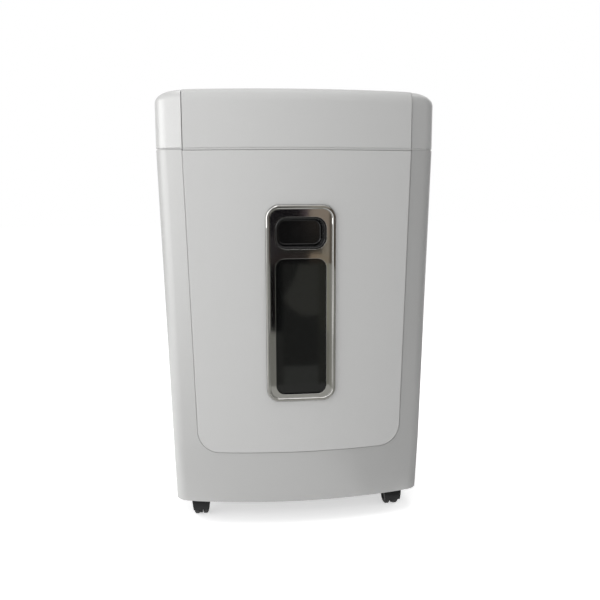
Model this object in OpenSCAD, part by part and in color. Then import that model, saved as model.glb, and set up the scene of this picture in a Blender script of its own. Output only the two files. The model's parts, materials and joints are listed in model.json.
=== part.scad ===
// Office paper shredder: a rounded head with the cutter block, motor and controls stands on
// a tapering cabinet with a pull-out waste bin and four swivel casters.
// X runs to the right seen from the front, Y to the back and Z up, in millimetres.
// The origin is on the floor under the middle of the machine.

/* [Overall] */
// Width where the head meets the cabinet
overall_w = 390; // [380:1:410]
// Depth from the front of the bezel to the back wall
overall_d = 300; // [294:1:330]
// Height from the floor to the flat top
overall_h = 620; // [610:1:660]

/* [Cabinet] */
// Width across the lower edge of the skirt
foot_w = 362; // [356:1:380]
// Height of the skirt's lower edge above the floor
skirt_z = 36; // [34:1:40]
// Height of the door's lower edge above the floor
sill_z = 114; // [110:1:124]
// Plan radius of the bowed front
front_r = 650; // [560:10:1200]
// Plan radius of the front corners
corner_r = 22; // [16:1:28]
// Plan radius of the back corners
back_r = 12; // [10:1:18]
// Wall thickness of the cabinet
wall = 3.2; // [2.6:0.1:3.6]
// How far the front falls back from the sill to the skirt
chin_set = 5; // [0:0.5:8]
// Depth of the turned-in lip round the door opening
lip_depth = 10; // [8:1:14]
// Thickness of the floor shelf under the bin
shelf_t = 3; // [2.5:0.5:4]

/* [Head] */
// Height of the head above the joint
head_h = 80; // [78:1:90]
// Height of the dark joint between head and cabinet
seam_gap = 2.4; // [1.8:0.1:3]
// How far the dark joint lies behind the surface
seam_set = 2.2; // [1.6:0.1:2.4]
// Wall thickness of the head covers
head_wall = 3; // [2.5:0.1:3.4]
// Height of the rounded top edge
round_h = 18; // [12:1:22]
// Reach of the rounded top edge on the sides
round_side = 28; // [20:1:32]
// Reach of the rounded top edge at the front
round_front = 12; // [8:1:16]
// Reach of the rounded top edge at the back
round_back = 8; // [6:1:10]
// Gap between the centre cover and each end cap
head_line = 0.8; // [0.5:0.1:1.2]

/* [Door and bezel] */
// Width of the cabinet frame beside the door
strip_w = 37; // [34:1:42]
// Radius of the door's lower corners
door_corner_r = 30; // [20:1:40]
// Gap round the door
door_gap = 1.2; // [0.8:0.1:2]
// How far the door stands in front of its frame
door_proud = 2; // [1:0.5:2.5]
// Thickness of the door skin
door_t = 3; // [2.6:0.1:3.2]
// Depth of the door's turned-in rim
door_rim = 12; // [8:1:13]
// How far the bezel stands in front of the door
bezel_proud = 3; // [2.6:0.1:3.4]
// Width of the bezel
bezel_w = 98; // [96:1:108]
// Distance from the joint down to the bezel
bezel_drop = 74; // [68:1:78]
// Height of the bezel
bezel_h = 277; // [270:1:284]
// Corner radius of the bezel
bezel_r = 19; // [16:1:22]
// Width of the bezel's raised bead
bead_w = 5.5; // [4:0.5:6]
// Width of the window and of the finger pocket
window_w = 71; // [66:1:72]
// Distance from the bezel's lower end to the window
window_margin = 11; // [11:1:14]
// Height of the window
window_h = 192; // [184:1:193]
// Corner radius of the window and of the finger pocket
window_r = 13; // [10:1:14]
// Distance from the bezel's upper end to the finger pocket
pocket_margin = 17; // [15:1:19]
// Height of the finger pocket
pocket_h = 44; // [40:1:45]
// Depth of the finger pocket behind the bezel
pocket_d = 22; // [16:1:24]

/* [Waste bin] */
// Wall thickness of the bin
bin_wall = 2.5; // [2:0.1:3]
// Distance of the bin's rim below the joint
bin_drop = 40; // [38:1:60]
// Clear space between the bin and the door opening
bin_side_gap = 3; // [2.5:0.5:5]
// Clear space between the bin and the back wall
bin_back_gap = 17; // [15:1:24]
// How far the bin pulls out
bin_travel = 240; // [200:5:260]

/* [Cutter block] */
// Distance between the two cutter shafts
shaft_c = 30; // [29:0.5:31]
// Tip radius of a cutter disc
cutter_r = 16.5; // [16.2:0.1:16.6]
// Width of a cutter disc
cutter_t = 5.6; // [5.3:0.1:5.7]
// Distance from one disc to the next on a shaft
cutter_pitch = 11.6; // [11.6:0.1:11.8]
// Hook teeth on a disc
hooks = 4; // [3:1:6]
// Depth of a hook tooth
hook_d = 2.8; // [2:0.1:3]
// Radius of the spacer rings
spacer_r = 12; // [11:0.1:12.2]
// Width across flats of the hexagonal shafts
hex_w = 14; // [12.5:0.5:15]
// Radius of the shaft journals
journal_r = 6; // [5.8:0.1:6.2]
// Distance of the cutter shafts below the flat top
cutter_drop = 60; // [58:1:62]
// Depth position of the paper path
slot_y = 15; // [10:1:18]
// Thickness of the side plates
plate_t = 3; // [2.5:0.5:3.5]

/* [Gear train and motor] */
// Module of the gears on the cutter shafts
shaft_module = 1.5; // [1.5]
// Teeth of the compound pinion
pinion_n = 12; // [12:1:14]
// Teeth of the drive gear on the rear shaft
drive_n = 40; // [38:1:40]
// Module of the motor stage
motor_module = 1.25; // [1.25]
// Teeth of the motor pinion
motor_n = 10; // [10:1:12]
// Teeth of the compound wheel
wheel_n = 40; // [38:1:42]
// Width of the gears
gear_t = 10; // [8:1:10]
// Depth position of the motor axis
motor_y = 96; // [94:1:98]
// Distance of the motor axis below the flat top
motor_drop = 64; // [62:1:67]
// Radius of the motor
motor_r = 33; // [30:1:34]
// Length of the motor
motor_l = 86; // [76:1:90]

/* [Controls] */
// Length of the control panel
panel_w = 150; // [140:1:170]
// Depth of the control panel
panel_d = 34; // [32:1:38]
// Distance of the control panel in front of the paper path
panel_off = 93; // [90:1:96]
// Length of a button
button_w = 20; // [16:1:22]
// Depth of a button
button_d = 12; // [10:1:14]
// Button travel
button_travel = 1.2; // [0.8:0.1:1.5]
// Width of the head on each side of the paper slot
side_room = 82; // [80:1:86]
// Width of the paper slot
slot_t = 7; // [5:0.5:8]

/* [Casters] */
// Radius of the wheels
wheel_r = 18; // [17:0.5:18]
// Width of one wheel
wheel_t = 8; // [7:0.5:9]
// Distance of the wheel axis behind the stem
trail = 10; // [8:0.5:11]
// Distance of the stems inside the skirt's sides
caster_side = 35; // [34:1:41]
// Distance of the front stems behind the bezel
caster_front = 58; // [56:1:70]
// Distance of the back stems in front of the back wall
caster_back = 38; // [36:1:50]
// Radius of the caster stems
stem_r = 4; // [3.5:0.5:4.5]

/* [Hidden] */

// Colours
shell_white = "#dcdcda";
door_white = "#d2d2d0";
chrome = "#b9b6b1";
black = "#1b1b1c";
smoke = "#20242466";
steel = "#9a9da0";
cutter_steel = "#6d7074";
nylon = "#e4ddc8";
bin_grey = "#3a3c3e";
board_green = "#2f6b3c";

// Fits and small clearances
run_fit = 0.05;
press_fit = 0.02;
seat_gap = 0.3;
cut_over = 1;
$fn = 40;

// Reference planes
back_y = overall_d / 2;
bezel_y = -overall_d / 2;
door_y = bezel_y + bezel_proud;
frame_y = door_y + door_proud;
seam_z = overall_h - head_h;
cover_z = seam_z + seam_gap;
cutter_z = overall_h - cutter_drop;
motor_z = overall_h - motor_drop;
bin_top = seam_z - bin_drop;
centre_half = overall_w / 2 - strip_w;
caster_x = foot_w / 2 - caster_side;
caster_front_y = bezel_y + caster_front;
caster_back_y = back_y - caster_back;
slot_w = overall_w - 2 * side_room;
bezel_z1 = seam_z - bezel_drop;
bezel_z0 = bezel_z1 - bezel_h;
bezel_mid = (bezel_z0 + bezel_z1) / 2;
window_z0 = bezel_z0 + window_margin;
window_z1 = window_z0 + window_h;
pocket_z1 = bezel_z1 - pocket_margin;
pocket_z0 = pocket_z1 - pocket_h;

// ---- outlines and lofts --------------------------------------------------------------

front_n = 20;
corner_n = 8;
back_n = 3;

// Points i0 to i1 of an arc that is divided into n equal steps.
function arc(cx, cy, r, a0, a1, n, i0, i1) =
    [for (i = [i0:i1]) let (a = a0 + (a1 - a0) * i / n) [cx + r * cos(a), cy + r * sin(a)]];

// Plan outline with a bowed front, rounded corners and straight sides, counter-clockwise.
function plan(hw, fy, by, rf, rc, rb) =
    let (cx = hw - rc,
         a = asin(cx / (rf - rc)),
         cy = fy + rf - (rf - rc) * cos(a))
    concat(
        arc(0, fy + rf, rf, -90 - a, -90 + a, front_n, 0, front_n),
        arc(cx, cy, rc, -90 + a, 0, corner_n, 1, corner_n),
        arc(hw - rb, by - rb, rb, 0, 90, back_n, 0, back_n),
        arc(rb - hw, by - rb, rb, 90, 180, back_n, 0, back_n),
        arc(-cx, cy, rc, 180, 270 - a, corner_n, 0, corner_n - 1));

// Rectangle with rounded corners about the origin, counter-clockwise.
function rounded(w, h, r, n = 6) =
    concat(
        arc(w / 2 - r, h / 2 - r, r, 0, 90, n, 0, n),
        arc(r - w / 2, h / 2 - r, r, 90, 180, n, 0, n),
        arc(r - w / 2, r - h / 2, r, 180, 270, n, 0, n),
        arc(w / 2 - r, r - h / 2, r, 270, 360, n, 0, n));

// Closed solid through rings of [height, outline], all with the same number of points.
module loft(rings) {
    n = len(rings[0][1]);
    m = len(rings);
    walls = [for (k = [0:m - 2]) for (i = [0:n - 1])
        let (a = k * n + i, b = k * n + (i + 1) % n, c = b + n, d = a + n)
        each [[a, d, c], [a, c, b]]];
    polyhedron(
        [for (ring = rings) for (p = ring[1]) [p.x, p.y, ring[0]]],
        concat([[for (i = [0:n - 1]) i]], walls, [[for (i = [n - 1:-1:0]) (m - 1) * n + i]]));
}

// Turns a piece drawn in XY and extruded up so that its face looks to the front.
module facing_front(y) {
    translate([0, y, 0])
        rotate([90, 0, 0])
            children();
}

// Turns a piece drawn about Z so that it lies along +X from the given point.
module along_x(x, y, z) {
    translate([x, y, z])
        rotate([90, 0, 90])
            children();
}

// ---- cabinet --------------------------------------------------------------------------

function body_hw(z) =
    foot_w / 2 + (overall_w - foot_w) / 2 * (z - skirt_z) / (seam_z - skirt_z);
function chin(z) = chin_set * max(0, sill_z - z) / (sill_z - skirt_z);
function body_ring(z, off) =
    [z, plan(body_hw(z) - off, frame_y + chin(z) + off, back_y - off,
             front_r - off, corner_r - off, back_r - off)];
function body_rings(z0, z1, off) =
    [for (z = [z0, sill_z, z1]) body_ring(z, off)];

// Door outline in the XZ plane. A negative inset makes it larger.
function side_x(z, inset) = body_hw(z) - strip_w - inset;
function door_outline(z_top, inset) =
    let (lean = atan((side_x(seam_z, 0) - side_x(sill_z, 0)) / (seam_z - sill_z)),
         z0 = sill_z + inset,
         r = door_corner_r - inset,
         cz = z0 + r,
         cx = side_x(cz, inset) - r / cos(lean),
         right = arc(cx, cz, r, -90, -lean, 8, 0, 8))
    concat(
        right,
        [[side_x(z_top, inset), z_top], [-side_x(z_top, inset), z_top]],
        [for (i = [8:-1:0]) [-right[i].x, right[i].y]]);

module door_prism(z_top, inset) {
    facing_front(0)
        linear_extrude(-bezel_y + cut_over)
            polygon(door_outline(z_top, inset));
}

open_top = seam_z + cut_over;

module cabinet_shell() {
    color(shell_white) {
        difference() {
            loft(body_rings(skirt_z, seam_z, 0));
            loft(body_rings(skirt_z - cut_over, open_top, wall));
            door_prism(open_top, -door_gap);
        }
        lip_ring();
    }
}

// Lip that turns in round the door opening.
lip_t = 2.2;
module lip_ring() {
    intersection() {
        difference() {
            loft(body_rings(skirt_z, seam_z, wall - cut_over));
            loft(body_rings(skirt_z - cut_over, open_top, lip_depth));
        }
        difference() {
            door_prism(open_top, -door_gap - lip_t);
            door_prism(open_top + cut_over, -door_gap);
        }
    }
}

// ---- base, shelf and casters -------------------------------------------------------------

tray_t = 3.2;
well_z = skirt_z + 18;
well_r = 30;
column_r = 8;
shelf_z = sill_z - door_gap - lip_t - seat_gap - shelf_t;
shelf_top = shelf_z + shelf_t;
shelf_edge_h = 9;
column_x = foot_w / 2 - 85;
column_ys = [frame_y + 85, back_y - 66];
columns = [for (s = [-1, 1]) for (y = column_ys) [s * column_x, y]];
stems = [[-caster_x, caster_front_y], [caster_x, caster_front_y],
         [-caster_x, caster_back_y], [caster_x, caster_back_y]];
socket_r = 7;
rib_t = 2.2;
ribs = 6;
screw_r = 1.9;
screw_head_r = 3.6;
screw_head_h = 2.2;
shelf_screw_l = 12;
plate_screw_l = 8;

module base_tray() {
    inner_off = wall + seat_gap;
    tray_h = well_z + tray_t - skirt_z;
    color(black)
        difference() {
            union() {
                difference() {
                    loft([body_ring(skirt_z, inner_off), body_ring(skirt_z + tray_h, inner_off)]);
                    difference() {
                        loft([body_ring(skirt_z + tray_t, inner_off + tray_t),
                              body_ring(skirt_z + tray_h + cut_over, inner_off + tray_t)]);
                        for (p = stems)
                            translate([p.x, p.y, skirt_z])
                                cylinder(r = well_r + tray_t, h = tray_h);
                    }
                }
                tray_ribs(tray_h);
                for (p = columns)
                    translate([p.x, p.y, skirt_z])
                        cylinder(r = column_r, h = shelf_z - skirt_z);
            }
            for (p = stems)
                translate([p.x, p.y, skirt_z - cut_over]) {
                    cylinder(r = well_r, h = well_z - skirt_z + cut_over);
                    cylinder(r = socket_r + press_fit, h = tray_h + 2 * cut_over);
                }
            for (p = columns)
                translate([p.x, p.y, shelf_z - shelf_screw_l])
                    cylinder(r = screw_r + press_fit, h = shelf_screw_l + cut_over);
        }
}

// Stiffening ribs across the tray between the caster wells.
module tray_ribs(tray_h) {
    rib_half = caster_x - well_r;
    rib_span = caster_back_y - caster_front_y;
    for (i = [0:ribs - 1])
        translate([-rib_half, caster_front_y + rib_span * i / (ribs - 1) - rib_t / 2, skirt_z + cut_over])
            cube([2 * rib_half, rib_t, tray_h - cut_over]);
    for (x = [-column_x, 0, column_x])
        translate([x - rib_t / 2, caster_front_y, skirt_z + cut_over])
            cube([rib_t, rib_span, tray_h - cut_over]);
}

module bin_shelf() {
    off = wall + seat_gap;
    color(shell_white)
        difference() {
            loft([body_ring(shelf_z - shelf_edge_h, off), body_ring(shelf_top, off)]);
            loft([body_ring(shelf_z - shelf_edge_h - cut_over, off + shelf_t),
                  body_ring(shelf_z, off + shelf_t)]);
            for (p = columns)
                translate([p.x, p.y, shelf_z - cut_over])
                    cylinder(r = screw_r + press_fit, h = shelf_t + 2 * cut_over);
        }
}

// Two angle rails that carry and steer the bin.
guide_x = 118;
guide_t = 1.6;
guide_base = lip_t + seat_gap;
guide_h = guide_base + 2.4;
guide_w = 9;
module bin_guides() {
    y0 = frame_y + 26;
    color(nylon)
        for (s = [-1, 1])
            translate([s * guide_x, back_y - wall - 6, shelf_top])
                rotate([90, 0, 0])
                    linear_extrude(back_y - wall - 6 - y0)
                        scale([s, 1])
                            polygon([[-guide_w, 0], [0, 0], [0, guide_h], [-guide_t, guide_h],
                                     [-guide_t, guide_base], [-guide_w, guide_base]]);
}

module screw(x, y, z, len) {
    translate([x, y, z]) {
        cylinder(r = screw_head_r, h = screw_head_h, $fn = 24);
        translate([0, 0, -len])
            cylinder(r = screw_r, h = len + screw_head_h / 2, $fn = 24);
    }
}

module chassis_screws() {
    color(steel) {
        for (p = columns)
            screw(p.x, p.y, shelf_top, shelf_screw_l);
        for (s = [-1, 1]) for (y = foot_ys)
            screw(s * foot_screw_x, y, tray_floor + plate_t, plate_screw_l);
    }
}

// -- casters --

socket_flange_r = 10;
socket_flange_t = 2;
socket_h = 18;
hood_r = wheel_r + 3.6;
hood_in_r = wheel_r + 1.2;
hood_top = well_z - 8;
hood_half_top = 16;
hood_low = wheel_r - 5;
web_low = 7;
web_t = 4;
axle_r = 2.5;
side_play = 0.5;
wheel_x0 = web_t / 2 + side_play;
hood_half_low = wheel_x0 + wheel_t + 1;
boss_r = 9;
boss_z = wheel_r + 12;

module caster_sockets() {
    color(nylon)
        for (p = stems)
            translate([p.x, p.y, well_z])
                difference() {
                    union() {
                        translate([0, 0, -socket_flange_t])
                            cylinder(r = socket_flange_r, h = socket_flange_t);
                        cylinder(r = socket_r, h = socket_h);
                    }
                    translate([0, 0, -socket_flange_t - cut_over])
                        cylinder(r = stem_r + run_fit, h = socket_h + socket_flange_t + 2 * cut_over);
                }
}

// Tapering hood over two wheels, with its web, boss and stem.
module caster_swivel(p) {
    color(black)
        translate([p.x, p.y, 0])
            difference() {
                union() {
                    difference() {
                        union() {
                            intersection() {
                                along_x(-hood_half_top, trail, wheel_r)
                                    cylinder(r = hood_r, h = 2 * hood_half_top, $fn = 64);
                                hood_front(hood_low);
                            }
                            translate([0, 0, boss_z])
                                cylinder(r = boss_r, h = hood_top - boss_z);
                        }
                        along_x(-hood_half_top - cut_over, trail, wheel_r)
                            cylinder(r = hood_in_r, h = 2 * (hood_half_top + cut_over), $fn = 64);
                    }
                    intersection() {
                        along_x(-web_t / 2, trail, wheel_r)
                            cylinder(r = hood_r - 1.5, h = web_t, $fn = 48);
                        hood_front(web_low);
                    }
                    translate([0, 0, hood_top - cut_over])
                        cylinder(r = stem_r, h = well_z + socket_h - hood_top);
                }
                along_x(-web_t, trail, wheel_r)
                    cylinder(r = axle_r + run_fit, h = 2 * web_t);
            }
}

// Front silhouette of the hood, wide at the top.
module hood_front(z0) {
    translate([0, trail + hood_r + cut_over, 0])
        rotate([90, 0, 0])
            linear_extrude(2 * (hood_r + cut_over))
                polygon([[-hood_half_low, z0], [hood_half_low, z0],
                         [hood_half_top, hood_top], [-hood_half_top, hood_top]]);
}

// Two wheels pressed on one axle.
module caster_wheels(p) {
    color(black)
        translate([p.x, p.y + trail, wheel_r]) {
            for (s = [-1, 1])
                rotate([0, s * 90, 0])
                    rotate_extrude($fn = 56)
                        wheel_profile();
            rotate([0, 90, 0])
                cylinder(r = axle_r, h = 2 * (wheel_x0 + wheel_t - 1), center = true);
        }
}

module wheel_profile() {
    polygon([[axle_r + press_fit, wheel_x0], [wheel_r - 2, wheel_x0], [wheel_r, wheel_x0 + 1.2],
             [wheel_r, wheel_x0 + wheel_t - 2], [wheel_r - 2.5, wheel_x0 + wheel_t],
             [wheel_r - 5, wheel_x0 + wheel_t], [wheel_r - 6.5, wheel_x0 + wheel_t - 2],
             [axle_r + 3, wheel_x0 + wheel_t - 2], [axle_r + 2.4, wheel_x0 + wheel_t - 1],
             [axle_r + press_fit, wheel_x0 + wheel_t - 1]]);
}

// ---- head covers ---------------------------------------------------------------------------

round_n = 5;
tongue_w = 8;
head_hw = overall_w / 2;
function head_ring(z, fy, off, t) =
    [z, plan(head_hw - off - round_side * t, fy + off + round_front * t,
             back_y - off - round_back * t,
             front_r - off, corner_r - off + 8 * t, back_r - off + 6 * t)];
function head_rings(z0, fy, off) =
    concat(
        [head_ring(z0, fy, off, 0)],
        [for (k = [0:round_n]) let (a = 90 * k / round_n)
            head_ring(overall_h - round_h + (round_h - off) * sin(a), fy, off, 1 - cos(a))]);

module head_shell(fy, off, thickness) {
    difference() {
        loft(head_rings(cover_z, fy, off));
        loft(head_rings(cover_z - cut_over, fy, off + thickness));
    }
}

module x_slab(x0, x1) {
    translate([x0, bezel_y - cut_over, seam_z])
        cube([x1 - x0, overall_d + 2 * cut_over, head_h + cut_over]);
}

rear_x = 72 - centre_half;
rear_w = 104;
rear_h = 42;
rear_z = overall_h - round_h - rear_h / 2 - 8;
rear_depth = 7;
rear_floor = 4;
rear_rim = 3;
rocker_x = rear_x - 22;
gland_x = rear_x + 26;
throat_top_w = slot_w + 14;
throat_top_d = 26;
throat_wall = 2;
flange_w = 6;
flange_t = 1.6;
panel_y = slot_y - panel_off;
panel_t = 2;
panel_sink = 1;
panel_lip = 2;

module head_centre_cover() {
    half = centre_half - head_line / 2;
    color(door_white)
        difference() {
            union() {
                intersection() {
                    head_shell(door_y, 0, head_wall);
                    x_slab(-half, half);
                }
                translate([rear_x - rear_w / 2 - rear_rim, rocker_frame_y - rear_floor,
                           rear_z - rear_h / 2 - rear_rim])
                    cube([rear_w + 2 * rear_rim, rear_depth + rear_floor - head_wall / 2,
                          rear_h + 2 * rear_rim]);
            }
            // paper slot with the seat of its flange
            translate([0, slot_y, 0]) {
                flush_plate(throat_top_w + 2 * (throat_wall + seat_gap),
                            throat_top_d + 2 * (throat_wall + seat_gap), 1, 2 * head_wall);
                flush_plate(throat_top_w + 2 * (flange_w + seat_gap),
                            throat_top_d + 2 * (flange_w + seat_gap), 6, flange_t);
            }
            // control panel opening with its seat
            translate([0, panel_y, 0]) {
                flush_plate(panel_w - 2 * panel_lip, panel_d - 2 * panel_lip, 4, 2 * head_wall);
                flush_plate(panel_w + 2 * seat_gap, panel_d + 2 * seat_gap, 6, panel_t + panel_sink);
            }
            // rear recess with the seats of the switch and the cord gland
            translate([rear_x - rear_w / 2, back_y - rear_depth, rear_z - rear_h / 2])
                cube([rear_w, rear_depth + cut_over, rear_h]);
            translate([rocker_x, back_y - rear_depth + cut_over, rear_z])
                rotate([90, 0, 0])
                    linear_extrude(rear_floor + 2 * cut_over)
                        square([rocker_w + 2 * press_fit, rocker_h + 2 * press_fit], center = true);
            translate([gland_x, back_y - rear_depth + cut_over, rear_z])
                rotate([90, 0, 0])
                    cylinder(r = gland_r + press_fit, h = rear_floor + 2 * cut_over);
            // air slots of the motor
            for (i = [0:vents - 1])
                translate([vent_x0 + i * vent_pitch, back_y - head_wall - cut_over, rear_z - vent_h / 2])
                    cube([vent_w, head_wall + 2 * cut_over, vent_h]);
        }
}

vents = 9;
vent_x0 = centre_half - 138;
vent_pitch = 9;
vent_w = 3.6;
vent_h = 34;

// Rounded plate cut that goes down from the flat top by the given depth.
module flush_plate(w, d, r, depth) {
    translate([0, 0, overall_h - depth])
        linear_extrude(depth + cut_over)
            polygon(rounded(w, d, r));
}

// End cap of the head, with a tongue that closes the gap to the centre cover.
module head_cap(s) {
    x0 = centre_half + head_line / 2;
    color(shell_white)
        scale([s, 1, 1]) {
            intersection() {
                head_shell(frame_y, 0, head_wall);
                x_slab(x0, head_hw + cut_over);
            }
            intersection() {
                head_shell(frame_y, head_wall - cut_over, 3);
                x_slab(x0, x0 + tongue_w);
            }
            intersection() {
                head_shell(frame_y, head_wall + seat_gap, 2 - seat_gap);
                x_slab(x0 - tongue_w, x0 + tongue_w / 2);
            }
        }
}

module head_cap_right() {
    head_cap(1);
}

module head_cap_left() {
    head_cap(-1);
}

// ---- head tray -----------------------------------------------------------------------------

pan_depth = 28;
pan_t = 3;
tray_floor = seam_z - pan_depth + pan_t;
pan_front_gap = 6;
pan_front_y = door_y + door_t + door_rim + pan_front_gap;
exit_w = slot_w + 14;
exit_d = 46;
function pan_ring(z, off) =
    [z, plan(body_hw(z) - wall - seat_gap - off, pan_front_y + off, back_y - wall - seat_gap - off,
             front_r - off, corner_r - 8 - off, back_r - wall - off)];
function flange_ring(z, fy) =
    [z, plan(head_hw - seam_set, fy + seam_set, back_y - seam_set,
             front_r - seam_set, corner_r - seam_set, back_r - seam_set)];

module head_tray() {
    color(black)
        difference() {
            union() {
                loft([pan_ring(tray_floor - pan_t, 0), pan_ring(seam_z, 0)]);
                loft([flange_ring(seam_z, frame_y), flange_ring(cover_z, frame_y)]);
                intersection() {
                    loft([flange_ring(seam_z, door_y), flange_ring(cover_z, door_y)]);
                    x_slab(-centre_half, centre_half);
                }
            }
            loft([pan_ring(tray_floor, pan_t), pan_ring(cover_z + cut_over, pan_t)]);
            // way out for the cut paper
            translate([-exit_w / 2, slot_y - exit_d / 2, tray_floor - pan_t - cut_over])
                cube([exit_w, exit_d, pan_t + 2 * cut_over]);
            for (s = [-1, 1]) for (y = foot_ys)
                translate([s * foot_screw_x, y, tray_floor - pan_t - cut_over])
                    cylinder(r = screw_r + press_fit, h = pan_t + 2 * cut_over);
        }
}

// ---- paper throat and controls ----------------------------------------------------------------

throat_z = cutter_z + cutter_r + 4;

module funnel(grow, z0, z1) {
    hull() {
        translate([0, slot_y, z0])
            cube([slot_w + 2 * grow, slot_t + 2 * grow, 0.01], center = true);
        translate([0, slot_y, z1])
            cube([throat_top_w + 2 * grow, throat_top_d + 2 * grow, 0.01], center = true);
    }
}

module feed_throat() {
    color(black)
        difference() {
            union() {
                funnel(throat_wall, throat_z, overall_h - flange_t / 2);
                translate([0, slot_y, overall_h - flange_t])
                    linear_extrude(flange_t)
                        polygon(rounded(throat_top_w + 2 * flange_w, throat_top_d + 2 * flange_w, 6));
            }
            funnel(0, throat_z - 0.1, overall_h + 0.1);
        }
}

panel_top = overall_h - panel_sink;
button_xs = [-44, -16, 12];
lens_xs = [30, 38, 46, 54];
lens_r = 2;
button_top = overall_h - 0.1;
button_h = 6;
board_t = 1.6;
board_gap = 5;
board_z = button_top - button_h - board_gap;
post_r = 2.5;

module control_panel() {
    post_x = panel_w / 2 - 10;
    color(black)
        difference() {
            union() {
                translate([0, panel_y, panel_top - panel_t])
                    linear_extrude(panel_t)
                        polygon(rounded(panel_w, panel_d, 6));
                for (s = [-1, 1])
                    translate([s * post_x, panel_y, board_z + board_t])
                        cylinder(r = post_r, h = panel_top - board_z - board_t - panel_t / 2);
            }
            for (x = button_xs)
                translate([x, panel_y, panel_top - panel_t - cut_over])
                    linear_extrude(panel_t + 2 * cut_over)
                        polygon(rounded(button_w + 2 * seat_gap, button_d + 2 * seat_gap, 3));
            for (x = lens_xs)
                translate([x, panel_y, panel_top - panel_t - cut_over])
                    cylinder(r = lens_r + press_fit, h = panel_t + 2 * cut_over);
        }
}

module indicator_lenses() {
    color("#7fd08a")
        for (x = lens_xs)
            translate([x, panel_y, panel_top]) {
                translate([0, 0, -board_gap])
                    cylinder(r = lens_r, h = board_gap + 0.4, $fn = 24);
                translate([0, 0, -board_gap])
                    cylinder(r = lens_r + 0.8, h = board_gap - panel_t, $fn = 24);
            }
}

module button(x, tint) {
    color(tint)
        translate([x, panel_y, button_top]) {
            translate([0, 0, -button_h + 1.5])
                linear_extrude(button_h - 1.5)
                    polygon(rounded(button_w, button_d, 3));
            translate([0, 0, -button_h])
                linear_extrude(2)
                    polygon(rounded(button_w + 2, button_d + 2, 3));
        }
}

module button_start() {
    button(button_xs[0], "#c9cbcc");
}

module button_stop() {
    button(button_xs[1], "#b8322b");
}

module button_reverse() {
    button(button_xs[2], "#c9cbcc");
}

module button_board() {
    board_d = panel_d - 2 * panel_lip - 2;
    color(board_green) {
        translate([-panel_w / 2 + 4, panel_y - board_d / 2, board_z])
            cube([panel_w - 8, board_d, board_t]);
        for (x = button_xs)
            translate([x - 3, panel_y - 3, board_z + board_t / 2])
                cube([6, 6, board_gap - board_t / 2 - button_travel - seat_gap]);
    }
}

// ---- cutter block -----------------------------------------------------------------------------

front_y = slot_y - shaft_c / 2;
rear_y = slot_y + shaft_c / 2;
cutters = ceil((slot_w + 4) / cutter_pitch);
block_half = cutters * cutter_pitch / 2 + 4;
cut_x0 = -cutters * cutter_pitch / 2;
plate_in = block_half;
plate_out = block_half + plate_t;
plate_rise = 28;
plate_z1 = cutter_z + plate_rise;
plate_reach = 35;
plate_y0 = front_y - plate_reach;
plate_y1 = rear_y + plate_reach;
motor_plate_y1 = motor_y + 30;
plate_foot_w = 14;
foot_inset = 12;
foot_ys = [plate_y0 + foot_inset, plate_y1 - foot_inset];
foot_screw_x = plate_out + plate_foot_w / 2;
bush_r = 9;
bush_flange_r = 11;
rod_r = 4;
comb_out = 25;
comb_y = shaft_c / 2 + comb_out;
rod_dz = 14;
rods = [for (s = [-1, 1]) for (dz = [-rod_dz, rod_dz]) [slot_y + s * comb_y, cutter_z + dz]];
rod_neck_r = 3;

module plate_outline(y1) {
    c = 8;
    polygon([[plate_y0, tray_floor], [y1, tray_floor], [y1, plate_z1 - c], [y1 - c, plate_z1],
             [plate_y0 + c, plate_z1], [plate_y0, plate_z1 - c]]);
}

// Steel side plate with an out-turned foot. s is -1 on the left and 1 on the right.
module side_plate(s, y1) {
    x0 = s > 0 ? plate_in : -plate_out;
    color(steel)
        difference() {
            union() {
                along_x(x0, 0, 0)
                    linear_extrude(plate_t)
                        plate_outline(y1);
                translate([s > 0 ? plate_in : -plate_out - plate_foot_w, plate_y0, tray_floor])
                    cube([plate_t + plate_foot_w, plate_y1 - plate_y0, plate_t]);
            }
            for (y = [front_y, rear_y])
                along_x(x0 - cut_over, y, cutter_z)
                    cylinder(r = bush_r + press_fit, h = plate_t + 2 * cut_over);
            for (p = rods)
                along_x(x0 - cut_over, p.x, p.y)
                    cylinder(r = rod_neck_r + press_fit, h = plate_t + 2 * cut_over);
            for (y = foot_ys)
                translate([s * foot_screw_x, y, tray_floor - cut_over])
                    cylinder(r = screw_r + press_fit, h = plate_t + 2 * cut_over);
            if (s > 0) {
                along_x(x0 - cut_over, motor_y, motor_z)
                    cylinder(r = rotor_shaft_r + 2, h = plate_t + 2 * cut_over);
                along_x(x0 - cut_over, post_at.x, post_at.y)
                    cylinder(r = post_neck_r + press_fit, h = plate_t + 2 * cut_over);
            }
        }
}

module side_plate_left() {
    side_plate(-1, plate_y1);
}

module side_plate_right() {
    side_plate(1, motor_plate_y1);
}

// Shouldered rods with hexagonal nuts outside the plates.
module tie_rods() {
    color(steel)
        for (p = rods) {
            along_x(-plate_in, p.x, p.y)
                cylinder(r = rod_r, h = 2 * plate_in, $fn = 24);
            for (s = [-1, 1]) {
                along_x(s > 0 ? plate_in - 1 : -plate_out - 4, p.x, p.y)
                    cylinder(r = rod_neck_r, h = plate_t + 5, $fn = 24);
                along_x(s > 0 ? plate_out : -plate_out - 3, p.x, p.y)
                    cylinder(r = 5.2, h = 3, $fn = 6);
            }
        }
}

module shaft_bushings() {
    color("#b08d4a")
        for (y = [front_y, rear_y]) for (s = [-1, 1])
            translate([s * plate_in, y, cutter_z])
                rotate([0, s * 90, 0])
                    difference() {
                        union() {
                            translate([0, 0, -1.5])
                                cylinder(r = bush_flange_r, h = 1.5);
                            cylinder(r = bush_r, h = plate_t);
                        }
                        translate([0, 0, -cut_over - 1.5])
                            cylinder(r = journal_r + run_fit, h = plate_t + 1.5 + 2 * cut_over);
                    }
}

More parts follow.
